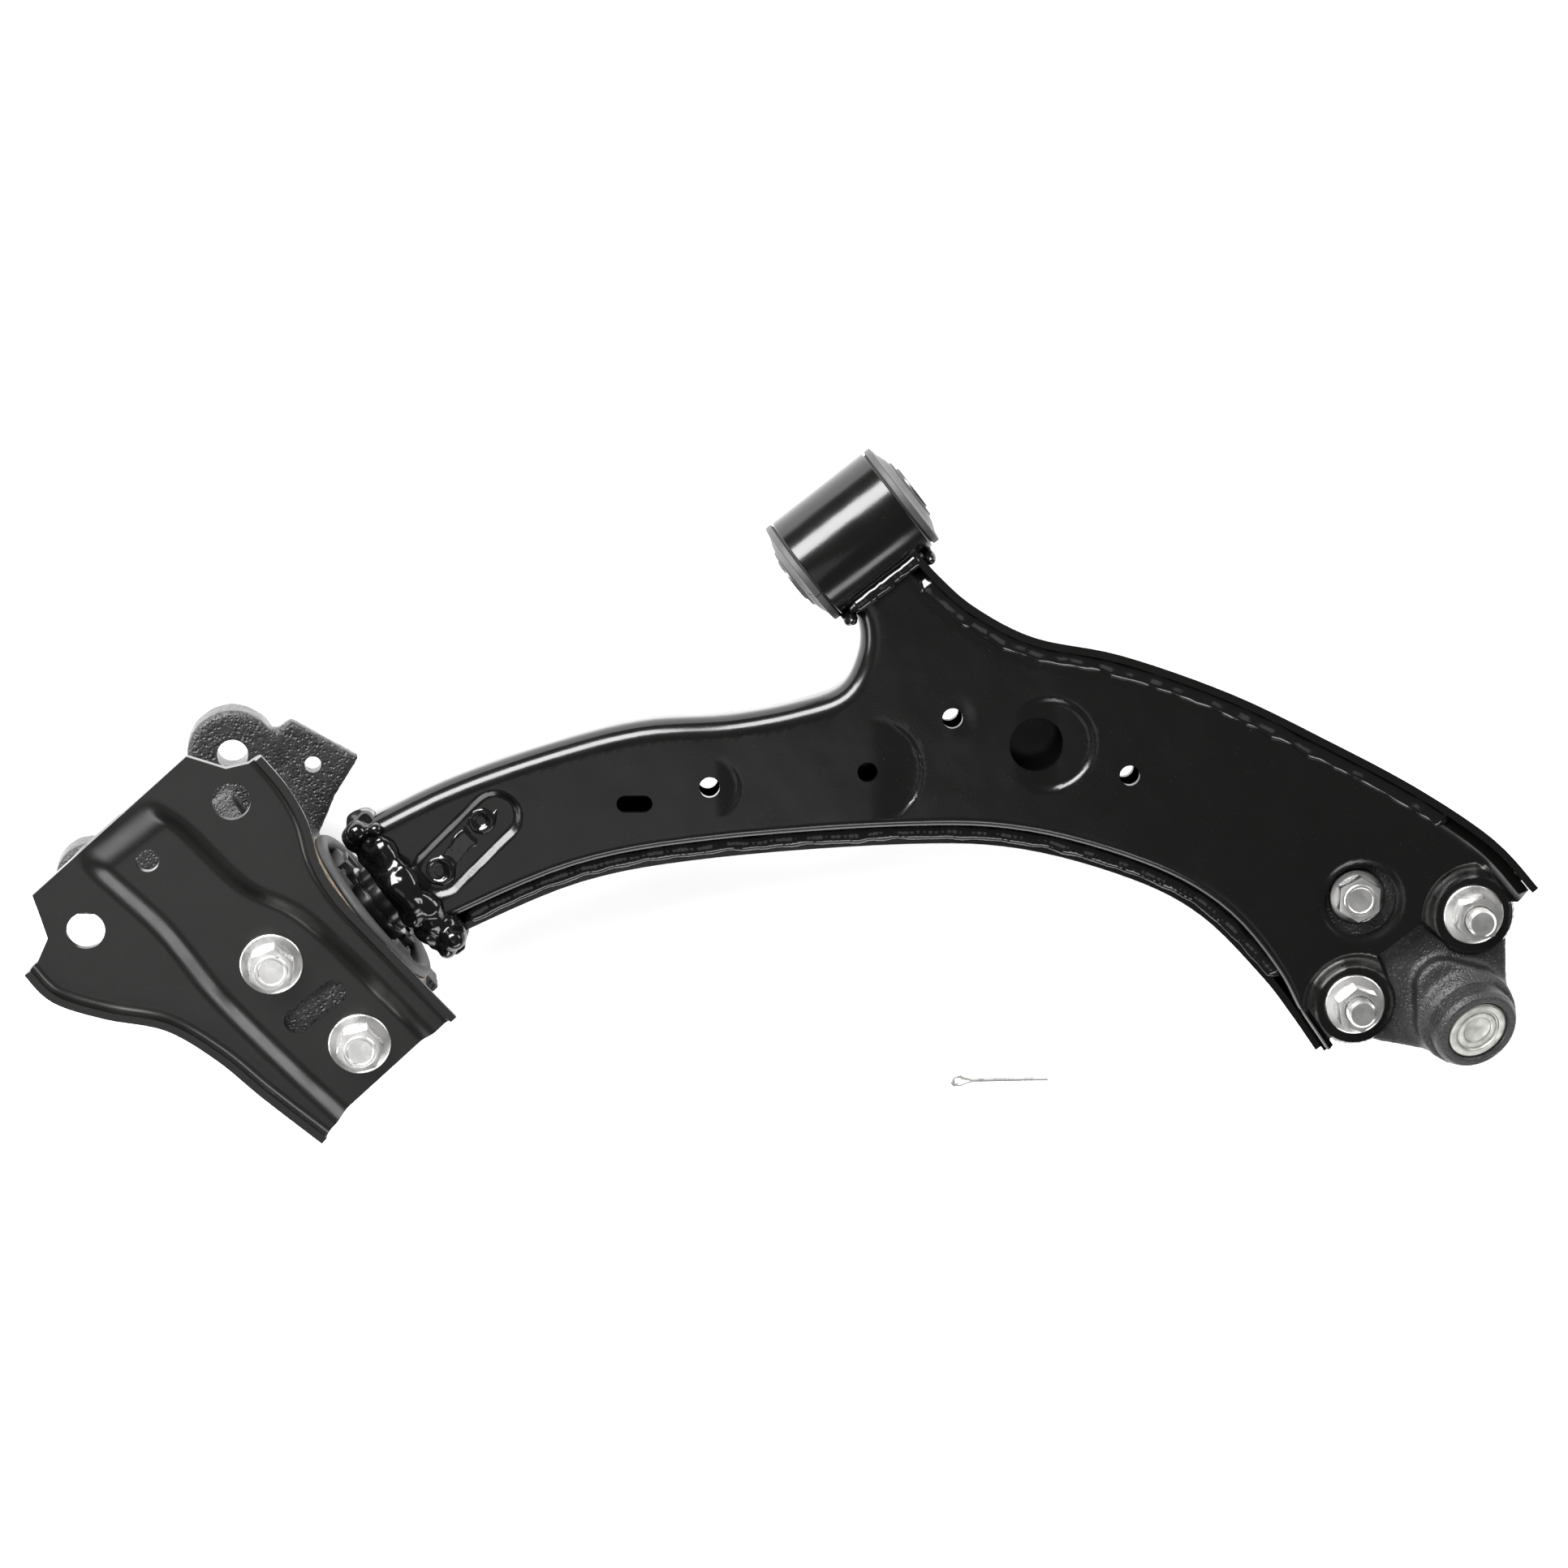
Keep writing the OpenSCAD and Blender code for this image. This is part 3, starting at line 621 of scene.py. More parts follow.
def weldBead(path, width, height, seed, rippled=0.04):
    # a bead that swells at each ripple, and slowly along its length
    run = [0.0]
    for a, b in zip(path, path[1:]):
        run.append(run[-1] + (b - a).length)
    fine, k = [], 0
    for i in range(int(run[-1] / 0.7)):
        spot = i * 0.7
        while run[k + 1] < spot:
            k += 1
        t = (spot - run[k]) / (run[k + 1] - run[k])
        fine.append(path[k].lerp(path[k + 1], t))
    length = run[-1]

    def swell(share):
        wave = abs(math.sin(math.pi * share * length / bead["ripple"]))
        slow = noise.noise(Vector((share * length / 9, seed, 0)))
        ends = min(1, 0.35 + share * length / 5, 0.35 + (1 - share) * length / 5)
        return (0.96 + rippled * wave + bead["wobble"] * slow) * ends

    return sweep(fine, [(u * width / 2, v * height / 2) for u, v in circle(1, bead["sides"])], swell)


def raised(points, level):
    return [Vector((p[0], p[1], level)) for p in points]


def lumps(spots, voxel, smooth):
    # runs of molten metal: overlapping blobs melted into one skin
    bm = bmesh.new()
    for x, y, z, radius in spots:
        part = bmesh.new()
        bmesh.ops.create_icosphere(part, subdivisions=3, radius=radius)
        merge(bm, part, Matrix.Translation((x, y, z)))
    piece = solid(bm)
    withModifier(piece, "REMESH", mode="VOXEL", voxel_size=voxel)
    withModifier(piece, "SMOOTH", factor=0.6, iterations=smooth)
    return roughen(piece, 0.3, 4)


def makeSeams():
    sheet, top = arm["sheet"], arm["top"]
    front = solid(weldBead(raised(moved(frontEdge, sheet + 2.6)[5:-9], top - 1.9), 10, 5.6, 1, 0))
    finishPiece(roughen(front, 0.7, 9), "frontSeamWeld", weldPaint, "arm",
                ["seam_weld_front"], 80)
    line = raised(moved(rearEdge, sheet + 2.6)[11:-1], 1.9)
    rearBead = solid(weldBead(line, 8.5, 5.5, 2))
    finishPiece(roughen(rearBead, 0.5, 7), "rearSeamWeld", weldPaint, "arm",
                ["seam_weld_rear"], 80)


def makeEyeWeld():
    line = []
    for k in range(25):
        x = -18 + 39 * k / 24
        line.append(Vector((x, math.sqrt(26.2 ** 2 - 12.5 ** 2), 12.5)))
    upperBead = weldBead(line, 7, 6, 3)
    lowLine = [Vector((p.x, p.y, arm["floor"] - 1)) for p in line]
    merge(upperBead, weldBead(lowLine, 5, 4.5, 4))
    for x, seed in ((-19.5, 5), (22.0, 6)):
        side = [Vector((x, 23 + 5 * abs(k - 6) / 6, -12 + 27 * k / 12)) for k in range(13)]
        merge(upperBead, weldBead(side, 6, 6, seed))
    finishPiece(roughen(solid(upperBead), 0.4, 3), "eyeWeld", weldPaint, "arm",
                ["eye_weld"], 80)


def makeShaftWeld():
    end = arm["end"]
    spots = []
    count = 60
    for k in range(count):
        t = math.tau * k / count
        y = 31.5 * math.cos(t)
        z = 0.5 + (12.5 + 4.5 * math.exp(-((y / 15) ** 2))) * math.sin(t)
        for row, (shift, share, radius) in enumerate(((-2.5, 1.0, 3.6), (1.5, 1.02, 4.4),
                                                      (5.5, 0.9, 3.6))):
            jitter = noise.noise(Vector((k * 0.33, 3.3, row * 2.7)))
            other = noise.noise(Vector((k * 0.41, 8.1, row * 3.9)))
            spots.append((end + shift + 2.4 * jitter, y * share, z * share + other,
                          radius + 0.5 + 3.0 * other))
    for k in range(26):
        t = math.tau * k / 26
        spots.append((end + 6.5, 15 * math.cos(t), 15 * math.sin(t),
                      3.6 + 0.6 * noise.noise(Vector((k * 0.4, 9, 1)))))
    spots += [(end - 1, 30, 13, 5.4), (end + 2, -31, 13, 4.8), (end - 5, -27, 14, 3.2),
              (end + 5, 33, 7, 4.2)]
    finishPiece(lumps(spots, 0.8, 14), "shaftWeld", weldPaint, "arm", ["shaft_weld"], 80)


def makePlugWelds():
    # two melted craters, and the low smear of metal drawn between them
    spots = []
    top = arm["top"] - 2.4
    for n, (x, y) in enumerate(plugs):
        for k in range(28):
            t = math.tau * k / 28
            spread = (5.2, 4.4)[n] + 0.5 * noise.noise(Vector((k * 0.4, n * 5, 0)))
            thick = 1.5 + 0.5 * math.cos(t - 2.4)
            spots.append((x + spread * math.cos(t), y + spread * math.sin(t), top, thick))
            spots.append((x + 2.6 * math.cos(t), y + 2.6 * math.sin(t), top - 1.1, 1.8))
    for k in range(12):
        share = 0.2 + 0.6 * k / 11
        x, y = (plugs[0][i] * (1 - share) + plugs[1][i] * share for i in (0, 1))
        wave = noise.noise(Vector((k * 0.5, 7, 0)))
        for across in (-3.2, -1.6, 0, 1.6, 3.2):
            spots.append((x, y + across + 2 * wave, top - 1.5 + 0.5 * wave, 2.4))
    x, y = plugs[1]
    spots += [(x - 4 - k, y + 2.5 - 0.5 * k, top, 1.9 - 0.2 * k) for k in range(5)]
    finishPiece(lumps(spots, 0.5, 8), "plugWelds", weldPaint, "arm", ["plug_welds"], 80)


makeSeams()
makeEyeWeld()
makeShaftWeld()
makePlugWelds()
print("welds made")


bush = {"eyeLength": 47.5, "eyeRadius": 24.5, "wall": 3.5, "can": 1.5, "lip": 4.2, "nose": 31.0,
        "sleeveRadius": 10.1, "bore": 7.1, "sleeveLength": 64.0}


def makeFrontBushing():
    half, outer = bush["eyeLength"] / 2, bush["eyeRadius"]
    bore = outer - bush["wall"]
    inner = bore - bush["can"]
    eye = lathe([(bore, -half), (outer, -half), (outer, half), (bore, half)], alongX, 128, 0.8)
    finishPiece(solid(eye), "frontEye", shellPaint, "arm", ["front_eye"])
    can = lathe([(inner, -half), (bore, -half), (bore, half), (inner, half)], alongX, 128, 0.3)
    finishPiece(solid(can), "frontBushCan", sleevePaint, "arm", ["front_bush_outer"])
    hole, nose, lip = bush["sleeveRadius"] + 0.3, bush["nose"], half + bush["lip"]
    halfProfile = [(inner, half), (outer - 1.8, half), (outer - 1.8, half + 0.5),
                   (outer - 0.4, half + 0.9),
                   (outer - 0.4, lip - 0.6), (outer - 3.2, lip),
                   (outer - 4, lip), (16.5, lip + 1.6), (13.8, lip + 2.2), (13.5, nose), (hole, nose)]
    profile = halfProfile + [(r, -h) for r, h in reversed(halfProfile)]
    rubber = solid(lathe(profile, alongX, 128, 0.5))
    cuts = bmesh.new()
    for side in (-1, 1):
        part = bmesh.new()
        bmesh.ops.create_cube(part, size=1)
        bmesh.ops.scale(part, vec=(5.4, 14, 0.5), verts=part.verts)
        merge(cuts, part, Matrix.Translation((side * (lip - 1.5), 0, 0)) @ Matrix.Rotation(
            math.radians(70 * side), 4, "X") @ Matrix.Translation((0, 19, 0)))
    combined(rubber, solid(cuts), "DIFFERENCE")
    finishPiece(rubber, "frontBushRubber", rubberPaint, "arm", ["front_bush_rubber"])
    sleeve, bolt = bush["sleeveRadius"], bush["bore"]
    long = bush["sleeveLength"] / 2
    tube = lathe([(bolt, -long), (sleeve, -long), (sleeve, long), (bolt, long)], alongX, 96, 0.7)
    finishPiece(solid(tube), "frontInnerSleeve", sleevePaint, "front_sleeve",
                ["front_bush_inner"])


makeFrontBushing()


rear = {"radius": 38.0, "length": 50.0, "can": 1.5, "shaft": 14.0, "sleeve": 17.5, "before": 5.0,
        "after": 4.0}


def rubberBlock(turn, low):
    # a stop in the bushing's end recess, with a chevron on its face
    bm = bmesh.new()
    bmesh.ops.create_cube(bm, size=1)
    bmesh.ops.scale(bm, vec=(14, 12, 8.5), verts=bm.verts)
    bmesh.ops.bevel(bm, geom=bm.edges, offset=1.0, offset_type="OFFSET", affect="EDGES", segments=2,
                    profile=0.5, material=-1)
    prism([(-5, -3.4), (0, 1.6), (5, -3.4), (5, -1.2), (0, 3.8), (-5, -1.2)], -8.3, -6.5,
          Matrix.Rotation(math.pi / 2, 4, "Y") @ Matrix.Rotation(math.pi / 2, 4, "Z"), bm)
    place = Matrix.Rotation(math.radians(turn), 4, "X") @ Matrix.Translation((low + 4.5, 0, 26.5))
    bmesh.ops.transform(bm, matrix=place, verts=bm.verts)
    return bm


def makeRearBushing():
    low, high = rearMid - rear["length"] / 2, rearMid + rear["length"] / 2
    outer, can = rear["radius"], rear["radius"] - rear["can"]
    ring = lathe([(can, low), (outer, low), (outer, high), (can, high)], alongX, 128, 0.5)
    finishPiece(solid(ring), "rearBushCan", tanPaint, "bracket", ["rear_bush_outer"])
    hole = rear["sleeve"] + 0.3
    half = [(can, high - 2), (can, high + 0.2), (outer - 0.7, high + 0.4), (outer - 0.7, high + 1.6),
            (outer - 1.6, high + 3.2), (outer - 3.4, high + 4.0), (outer - 5.4, high + 3.4),
            (outer - 6.8, high + 1),
            (outer - 7.4, high - 6), (outer - 9.5, high - 12), (hole + 8, high - 13.5),
            (hole + 5, high - 8),
            (hole + 3.5, high - 1), (hole, high - 1)]
    profile = half + [(r, 2 * rearMid - h) for r, h in reversed(half)]
    rubber = lathe(profile, alongX, 128, 0.9)
    for turn in (49, 131, 229, 311):
        merge(rubber, rubberBlock(turn, low))
    finishPiece(solid(rubber), "rearBushRubber", rubberPaint, "bracket",
                ["rear_bush_rubber"])
    first, last = low - rear["before"], high + rear["after"]
    sleeve, shaft = rear["sleeve"], rear["shaft"]
    tube = lathe([(shaft, first), (sleeve, first), (sleeve, last), (shaft, last)], alongX, 96, 0.6)
    finishPiece(solid(tube), "rearInnerSleeve", shellPaint, "arm", ["rear_bush_inner"])
    washer = lathe([(shaft, last), (20, last), (20, last + 3), (shaft, last + 3)], alongX, 96, 0.5)
    finishPiece(solid(washer), "shaftWasher", zincPaint, "arm", ["shaft_washer"])
    return first, last


sleeveFirst, sleeveLast = makeRearBushing()


def threadProfile(radius, low, high, pitch):
    points = []
    count = max(1, int((high - low) / pitch))
    for k in range(count):
        z = low + (high - low) * k / count
        points += [(radius, z), (radius - 0.09 * pitch * 4, z + (high - low) / count * 0.5)]
    return points + [(radius, high)]


def makeShaft():
    end, shaft = arm["end"], rear["shaft"]
    tail = sleeveLast + 22
    profile = [(0, end - 8), (shaft - 2, end - 8), (shaft + 1.5, end), (shaft + 1.5, sleeveFirst),
               (shaft, sleeveFirst)] + threadProfile(shaft, sleeveLast + 2, tail - 2, 2.0) + [
                   (shaft - 1.8, tail), (0, tail)]
    bm = lathe(profile, alongX, 96)
    tang = bmesh.new()
    bmesh.ops.create_cube(tang, size=1)
    bmesh.ops.scale(tang, vec=(50, 30, 16.8), verts=tang.verts)
    bmesh.ops.bevel(tang, geom=tang.edges, offset=2, offset_type="OFFSET", affect="EDGES", segments=3,
                    profile=0.5, material=-1)
    merge(bm, tang, Matrix.Translation((end - 25, 2, 0.4)))
    endPlate = bmesh.new()
    bmesh.ops.create_cube(endPlate, size=1)
    bmesh.ops.scale(endPlate, vec=(6, 65, 12), verts=endPlate.verts)
    bmesh.ops.bevel(endPlate, geom=endPlate.edges, offset=1.5, offset_type="OFFSET", affect="EDGES",
                    segments=2,
                    profile=0.5, material=-1)
    merge(bm, endPlate, Matrix.Translation((end + 1.5, 5.5, 0)))
    finishPiece(solid(bm), "pivotShaft", shellPaint, "arm", ["pivot_shaft"])


makeShaft()


fastener = {"flats": 17.0, "flange": 26.0, "shank": 12.0, "pitch": 1.75}


def hexBlock(flats, low, high):
    # a hexagon with its corners turned off at the top
    bm = bmesh.new()
    bmesh.ops.create_cone(bm, cap_ends=True, segments=6, radius1=flats / math.sqrt(3),
                          radius2=flats / math.sqrt(3), depth=high - low)
    bmesh.ops.translate(bm, vec=(0, 0, (low + high) / 2), verts=bm.verts)
    block = solid(bm)
    cone = solid(lathe([(0, low - 1), (flats, low - 1), (flats, high - (flats / 2 + 0.6) * 0.5 + 3),
                        (flats / 2 - 0.4, high),
                        (0, high)], steps=72))
    combined(block, cone, "INTERSECT")
    return block


def headSolid(height, flange):
    block = hexBlock(fastener["flats"], 0.5, height)
    edge = flange / 2
    skirt = solid(lathe([(0, 0), (edge, 0), (edge, 1.0), (edge - 0.5, 1.4),
                         (fastener["flats"] / 2 + 1, 2.1),
                         (0, 2.2)], steps=96, soft=0.2))
    return combined(block, skirt, "UNION")


def boltSolid(height, flange, shank):
    head = headSolid(height, flange)
    pad = solid(lathe([(0, height - 1), (6.9, height - 1), (6.9, height + 0.15), (6.5, height + 0.5),
                       (5.6, height + 0.5), (5.2, height + 0.25), (0, height + 0.25)], steps=72))
    combined(head, pad, "UNION")
    radius = fastener["shank"] / 2
    stem = solid(lathe([(0, 1), (0, -shank), (radius - 1, -shank), (radius, -shank + 1.2)]
                       + threadProfile(radius, -shank + 1.6, -shank * 0.45, fastener["pitch"])
                       + [(radius, 1)], steps=48))
    return combined(head, stem, "UNION")


def nutSolid(height):
    nut = headSolid(height, fastener["flange"])
    radius = fastener["shank"] / 2
    bore = solid(lathe([(0, -1), (radius + 0.05, -1), (radius + 0.05, height - 0.8),
                        (radius + 0.9, height + 0.3),
                        (0, height + 0.3)], steps=64))
    return combined(nut, bore, "DIFFERENCE")


def placed(piece, place):
    piece.data.transform(place)
    return piece


def joined(pieces):
    bm = bmesh.new()
    for piece in pieces:
        bm.from_mesh(piece.data)
        bpy.data.objects.remove(piece)
    return solid(bm)


def flipped(at, turn=0):
    return Matrix.Translation(at) @ Matrix.Rotation(math.pi, 4,
                                                    "X") @ Matrix.Rotation(math.radians(turn), 4, "Z")


def makeJointFasteners():
    floor, pad = arm["floor"], arm["padTop"]
    length = pad - floor + 18.5
    bolts = [placed(boltSolid(9.5, 26, length), flipped((*spot, floor), 12)) for spot in jointBolts]
    finishPiece(joined(bolts), "jointBolts", zincPaint, "arm", ["joint_bolts"])
    nuts = [placed(nutSolid(12), Matrix.Translation((*spot, pad)) @ Matrix.Rotation(math.radians(turn),
                                                                                    4, "Z"))
            for spot, turn in zip(jointBolts, (8, 31))]
    finishPiece(joined(nuts), "jointNuts", zincPaint, "arm", ["joint_nuts"])
    seat = boxOf("short_bolt")[0].z
    level = 2.0
    short = placed(boltSolid(8.5, 24, level - seat),
                   Matrix.Translation((*shortBolt, level)) @ Matrix.Rotation(
        math.radians(20), 4, "Z"))
    finishPiece(short, "shortBolt", zincPaint, "arm", ["short_bolt"])
    finishPiece(placed(nutSolid(12), flipped((*shortBolt, floor))), "shortBoltNut", zincPaint, "arm",
                ["short_bolt_nut"])


makeJointFasteners()
bigNut = combined(placed(hexBlock(41, 0, 16), Matrix.Translation((sleeveLast + 3, 0, 0)) @ alongX),
                  solid(
    rod((0, 0), 2 * rear["shaft"], sleeveLast, sleeveLast + 22, alongX)), "DIFFERENCE")
finishPiece(bigNut, "shaftNut", zincPaint, "arm", ["shaft_nut"])
print("bushings and fasteners made")


plate = {"low": 42.0, "sheet": 3.2, "step": 5.0, "flange": 13.0, "cell": 1.3}
casting = {"radius": 42.0, "earZ": -35.0, "ear": 15.0, "frontEar": 38.0, "backEar": 31.0, "bore": 13.0,
           "voxel": 1.5}


def fromRear(*points):
    return [Vector((rearMid + x, y)) for x, y in points]


ears = fromRear((-19, -84), (61, -79))
plateBolts = fromRear((13.5, -19), (7.5, 31))
plateFront = curve(fromRear((-38, -92), (-38, -76), (-35, -60), (-28, -44), (-25, -26), (-26, -2),
                            (-29, 45)))
plateBack = curve(fromRear((42, 52), (48, 21), (52, -4), (60, -28), (76, -48), (87, -66), (88, -81)))
plateEnd = fromRear((75, -86), (71, -96), (68, -104), (-17, -110), (-26, -96))
creaseFront = curve(fromRear((7, -112), (6, -100), (3, -85), (0, -53), (-10, -29), (-14, 5), (-18, 60)))
creaseBack = curve(fromRear((43, -112), (42, -97), (38, -64), (38, -46), (39, -25), (37, 10), (32, 60)))


def lineX(line, y):
    # where a crease crosses this y
    for a, b in zip(line, line[1:]):
        if a.y <= y <= b.y:
            return a.x + (b.x - a.x) * (y - a.y) / (b.y - a.y)
    return line[-1].x if y > line[-1].y else line[0].x


def plateHeight(x, y):
    inside = smoothStep(-4, 5, x - lineX(creaseFront, y)) * smoothStep(-4, 5, lineX(creaseBack, y) - x)
    return -plate["step"] * inside * smoothStep(-108, -90, y)


def makePlate():
    top = plate["low"] + plate["sheet"] + plate["step"]
    wall = plate["flange"] - plate["step"] - plate["sheet"]
    rings = bentRings(0, 3.5, wall, -1, 5)
    runs = [(plateFront, rings, None), (fromRear((-18, 46), (30, 50)), [], None),
            (plateBack, rings, None),
            (plateEnd, [], None)]
    piece = stampedSheet(runs, top, plate["cell"], plateHeight)
    withModifier(piece, "SOLIDIFY", thickness=plate["sheet"], offset=-1, use_even_offset=True)
    cutters = bmesh.new()
    for spot in ears:
        rod(spot, 15.5, 20, 80, bm=cutters)
    for spot in plateBolts:
        rod(spot, 12.4, 20, 80, bm=cutters)
    rod(*fromRear((24, -85)), 9.5, 20, 80, bm=cutters)
    slotMid = (rearMid + 11.5, 7)
    prism(arc((slotMid[0] + 9.5, slotMid[1]), 5.5, -90, 90) + arc((slotMid[0] - 9.5, slotMid[1]), 5.5,
                                                                  90, 270),
          20, 80, bm=cutters)
    combined(piece, solid(cutters), "DIFFERENCE")
    placed(piece, bracketPlace)
    finishPiece(piece, "stiffenerPlate", platePaint, "bracket", ["stiffener_plate"])
    seat = plate["low"] + plate["sheet"]
    bolts = [placed(boltSolid(10.5, 26, 8), bracketPlace @ Matrix.Translation((spot.x, spot.y, seat))
                    @ Matrix.Rotation(math.radians(turn), 4, "Z")) for spot,
             turn in zip(plateBolts, (14, 4))]
    finishPiece(joined(bolts), "plateBolts", zincPaint, "bracket", ["plate_bolts"])


def slabBlock(bm, low, high):
    part = bmesh.new()
    bmesh.ops.create_cube(part, size=1)
    size, middle = Vector(high) - Vector(low), (Vector(high) + Vector(low)) / 2
    bmesh.ops.scale(part, vec=size, verts=part.verts)
    merge(bm, part, Matrix.Translation(middle))


def makeCasting():
    low, high = rearMid - 22.5, rearMid + 22.5
    earZ, earTop = casting["earZ"], casting["earZ"] + casting["ear"]
    bm = rod((0, 0), 2 * casting["radius"], low, high, alongX, steps=96)
    slabBlock(bm, (low + 15, -34, 20), (low + 51, 45, plate["low"]))
    prism(fromRear((-30, -66), (-22, -25), (22, -25), (78, -72), (61, -79), (-19, -84)), earZ, earTop,
          bm=bm)
    for spot, width in zip(ears, (casting["frontEar"], casting["backEar"])):
        rod(spot, width, earZ, earTop, bm=bm, steps=96)
    prism(fromRear((-47, -80), (-59, -49), (-40, -42), (-26, -34), (-20, -60), (-30, -80)), -29, -22,
          bm=bm)
    slabBlock(bm, (low, 25, -30), (low + 40, 50, -12))
    rib = Matrix.Translation((low + 15, -78, earZ)) @ Matrix(((0, 0, 1, 0), (1, 0, 0, 0), (0, 1, 0, 0),
                                                              (0, 0, 0, 1)))
    prism([(0, 0), (50, 0), (50, 55), (36, 55), (6, 16)], 0, 10, rib, bm)
    piece = solid(bm)
    withModifier(piece, "REMESH", mode="VOXEL", voxel_size=casting["voxel"])
    withModifier(piece, "SMOOTH", factor=0.5, iterations=4)
    roughen(piece, 0.22, 2.2)
    cutters = rod((0, 0), 2 * rear["radius"], low - 9, high + 9, alongX, steps=128)
    for spot in ears:
        rod(spot, casting["bore"], earZ - 9, earTop + 30, bm=cutters)
    rod(*fromRear((-42, -59)), 7, -40, 0, bm=cutters)
    for spot in plateBolts:
        rod(spot, 12, 36.2, 90, bm=cutters)
    slabBlock(cutters, (low - 30, -120, plate["low"]), (high + 60, 90, 90))
    combined(piece, solid(cutters), "DIFFERENCE")
    placed(piece, bracketPlace)
    finishPiece(piece, "bracketCasting", castPaint, "bracket", ["bracket_casting"], 45)


makePlate()
makeCasting()
print("bracket made")


ball = {"radius": 14.0, "seat": 16.5, "body": 21.0, "spigot": 20.5, "rim": 19.0}


def tangentHull(bm, low, high, spots):
    # convex slab round several discs
    part = bmesh.new()
    for (x, y), radius in spots:
        for p in arc((x, y), radius, 0, 345, 23):
            part.verts.new((p[0], p[1], low))
            part.verts.new((p[0], p[1], high))
    bmesh.ops.convex_hull(part, input=part.verts)
    bmesh.ops.delete(part, geom=[v for v in part.verts if not v.link_faces], context="VERTS")
    return merge(bm, part)


def makeHousing():
    floor, flangeTop = arm["floor"] + arm["sheet"], 2.0
    bm = bmesh.new()
    tangentHull(bm, floor, flangeTop,
                [(p, 15) for p in jointBolts] + [(shortBolt, 15), (ballAt.xy, ball["body"])])
    lathe([(0, -19), (ball["spigot"], -19), (ball["spigot"], -13), (ball["body"], -13),
           (ball["body"], 9),
           (ball["rim"], 13), (0, 13)], jointPlace, bm=bm)
    tangentHull(bm, flangeTop - 1, flangeTop + 7, [((ballAt.x, ballAt.y + 3), ball["body"] + 1),
                                                  ((ballAt.x, ballAt.y - 14), 12)])
    piece = solid(bm)
    withModifier(piece, "REMESH", mode="VOXEL", voxel_size=1.3)
    withModifier(piece, "SMOOTH", factor=0.5, iterations=8)
    roughen(piece, 0.25, 2.5)
    trim = bmesh.new()
    reach = 80
    x, y = ballAt.x, ballAt.y
    slabBlock(trim, (x - reach, y - 130, flangeTop), (x + reach, y - 33, 60))
    slabBlock(trim, (x - reach, y - 130, -60), (x + reach, y - 33, floor))
    for spot in jointBolts:
        rod(spot, 34, flangeTop, 60, bm=trim)
    combined(piece, solid(trim), "DIFFERENCE")
    crown = solid(lathe([(0, 4), (ball["rim"], 4), (ball["rim"], 19.6), (ball["rim"] - 1.6, 22),
                         (14.6, 22), (13.9, 20.8),
                         (0, 20.6)], jointPlace, 128, 0.5))
    foot = solid(lathe([(0, -20), (ball["spigot"], -20), (ball["spigot"], -13.5), (0, -13.5)],
                       jointPlace, 128, 0.4))
    combined(combined(piece, crown, "UNION"), foot, "UNION")
    cuts = lathe([(0, -9.2), (0, 24), (13.8, 24), (13.8, 20.3), (ball["seat"], 20.3),
                  (ball["seat"], -9.2)], jointPlace, 96)
    lathe([(0, -24), (18.9, -24), (18.3, -20.01), (12.9, -8.9), (0, -8.9)], jointPlace, 96, bm=cuts)
    hollow = solid(cuts)
    withModifier(hollow, "REMESH", mode="VOXEL", voxel_size=0.6)
    combined(piece, hollow, "DIFFERENCE")
    holes = bmesh.new()
    for spot in [*jointBolts, shortBolt]:
        rod(spot, 12.4, -60, 60, bm=holes)
    combined(piece, solid(holes), "DIFFERENCE")
    finishPiece(piece, "ballHousing", forgedPaint, "arm", ["ball_housing"], 40)


def makeCap():
    seat = ball["seat"]
    profile = [(0, 17.5), (seat, 17.5), (seat, 20.1), (13.7, 20.1), (13.3, 21.0), (12.6, 21.3),
               (10.0, 21.3), (9.6, 20.6),
               (9.0, 20.5), (8.6, 20.8), (6.4, 20.8), (6.0, 20.4), (0, 20.3)]
    finishPiece(solid(lathe(profile, jointPlace, 128, 0.25)), "coverDisc", capPaint, "arm",
                ["ball_cap"])


def makeStud():
    radius = ball["radius"]
    sphere = [(radius * math.sin(t),
               -radius * math.cos(t)) for t in [math.pi * k / 40 for k in range(40, 5, -1)]]
    neck = [(6.5, -13.2), (6.5, -24), (8.5, -27), (7, -44), (6, -44.6)]
    thread = [(r, -z) for r, z in threadProfile(6, 45, 59, 1.5)]
    profile = [(0.0, radius)] + sphere[1:] + neck + thread + [(5, -60), (0, -60)]
    stud = solid(lathe(profile, jointPlace, 72))
    hole = solid(rod((0, 0), 3.2, -12, 12, jointPlace @ Matrix.Translation((0, 0, -55.5)) @ alongX))
    combined(stud, hole, "DIFFERENCE")
    finishPiece(stud, "ballStud", studPaint, "stud", ["ball_stud"])
    nut = hexBlock(19, 5, 13)
    collar = solid(lathe([(0, 0), (9, 0), (9, 6), (0, 6)], steps=72, soft=0.5))
    combined(nut, collar, "UNION")
    cuts = rod((0, 0), 12.05, -2, 15)
    for turn in (0, 60, 120):
        part = bmesh.new()
        bmesh.ops.create_cube(part, size=1)
        bmesh.ops.scale(part, vec=(26, 3.4, 5), verts=part.verts)
        merge(cuts, part, Matrix.Rotation(math.radians(turn), 4, "Z") @ Matrix.Translation((0, 0, 1.5)))
    slots = solid(cuts)
    withModifier(slots, "REMESH", mode="VOXEL", voxel_size=0.3)
    combined(nut, slots, "DIFFERENCE")
    placed(nut, jointPlace @ Matrix.Translation((0, 0, -58)))
    finishPiece(nut, "castleNut", zincPaint, "stud", ["castle_nut"])


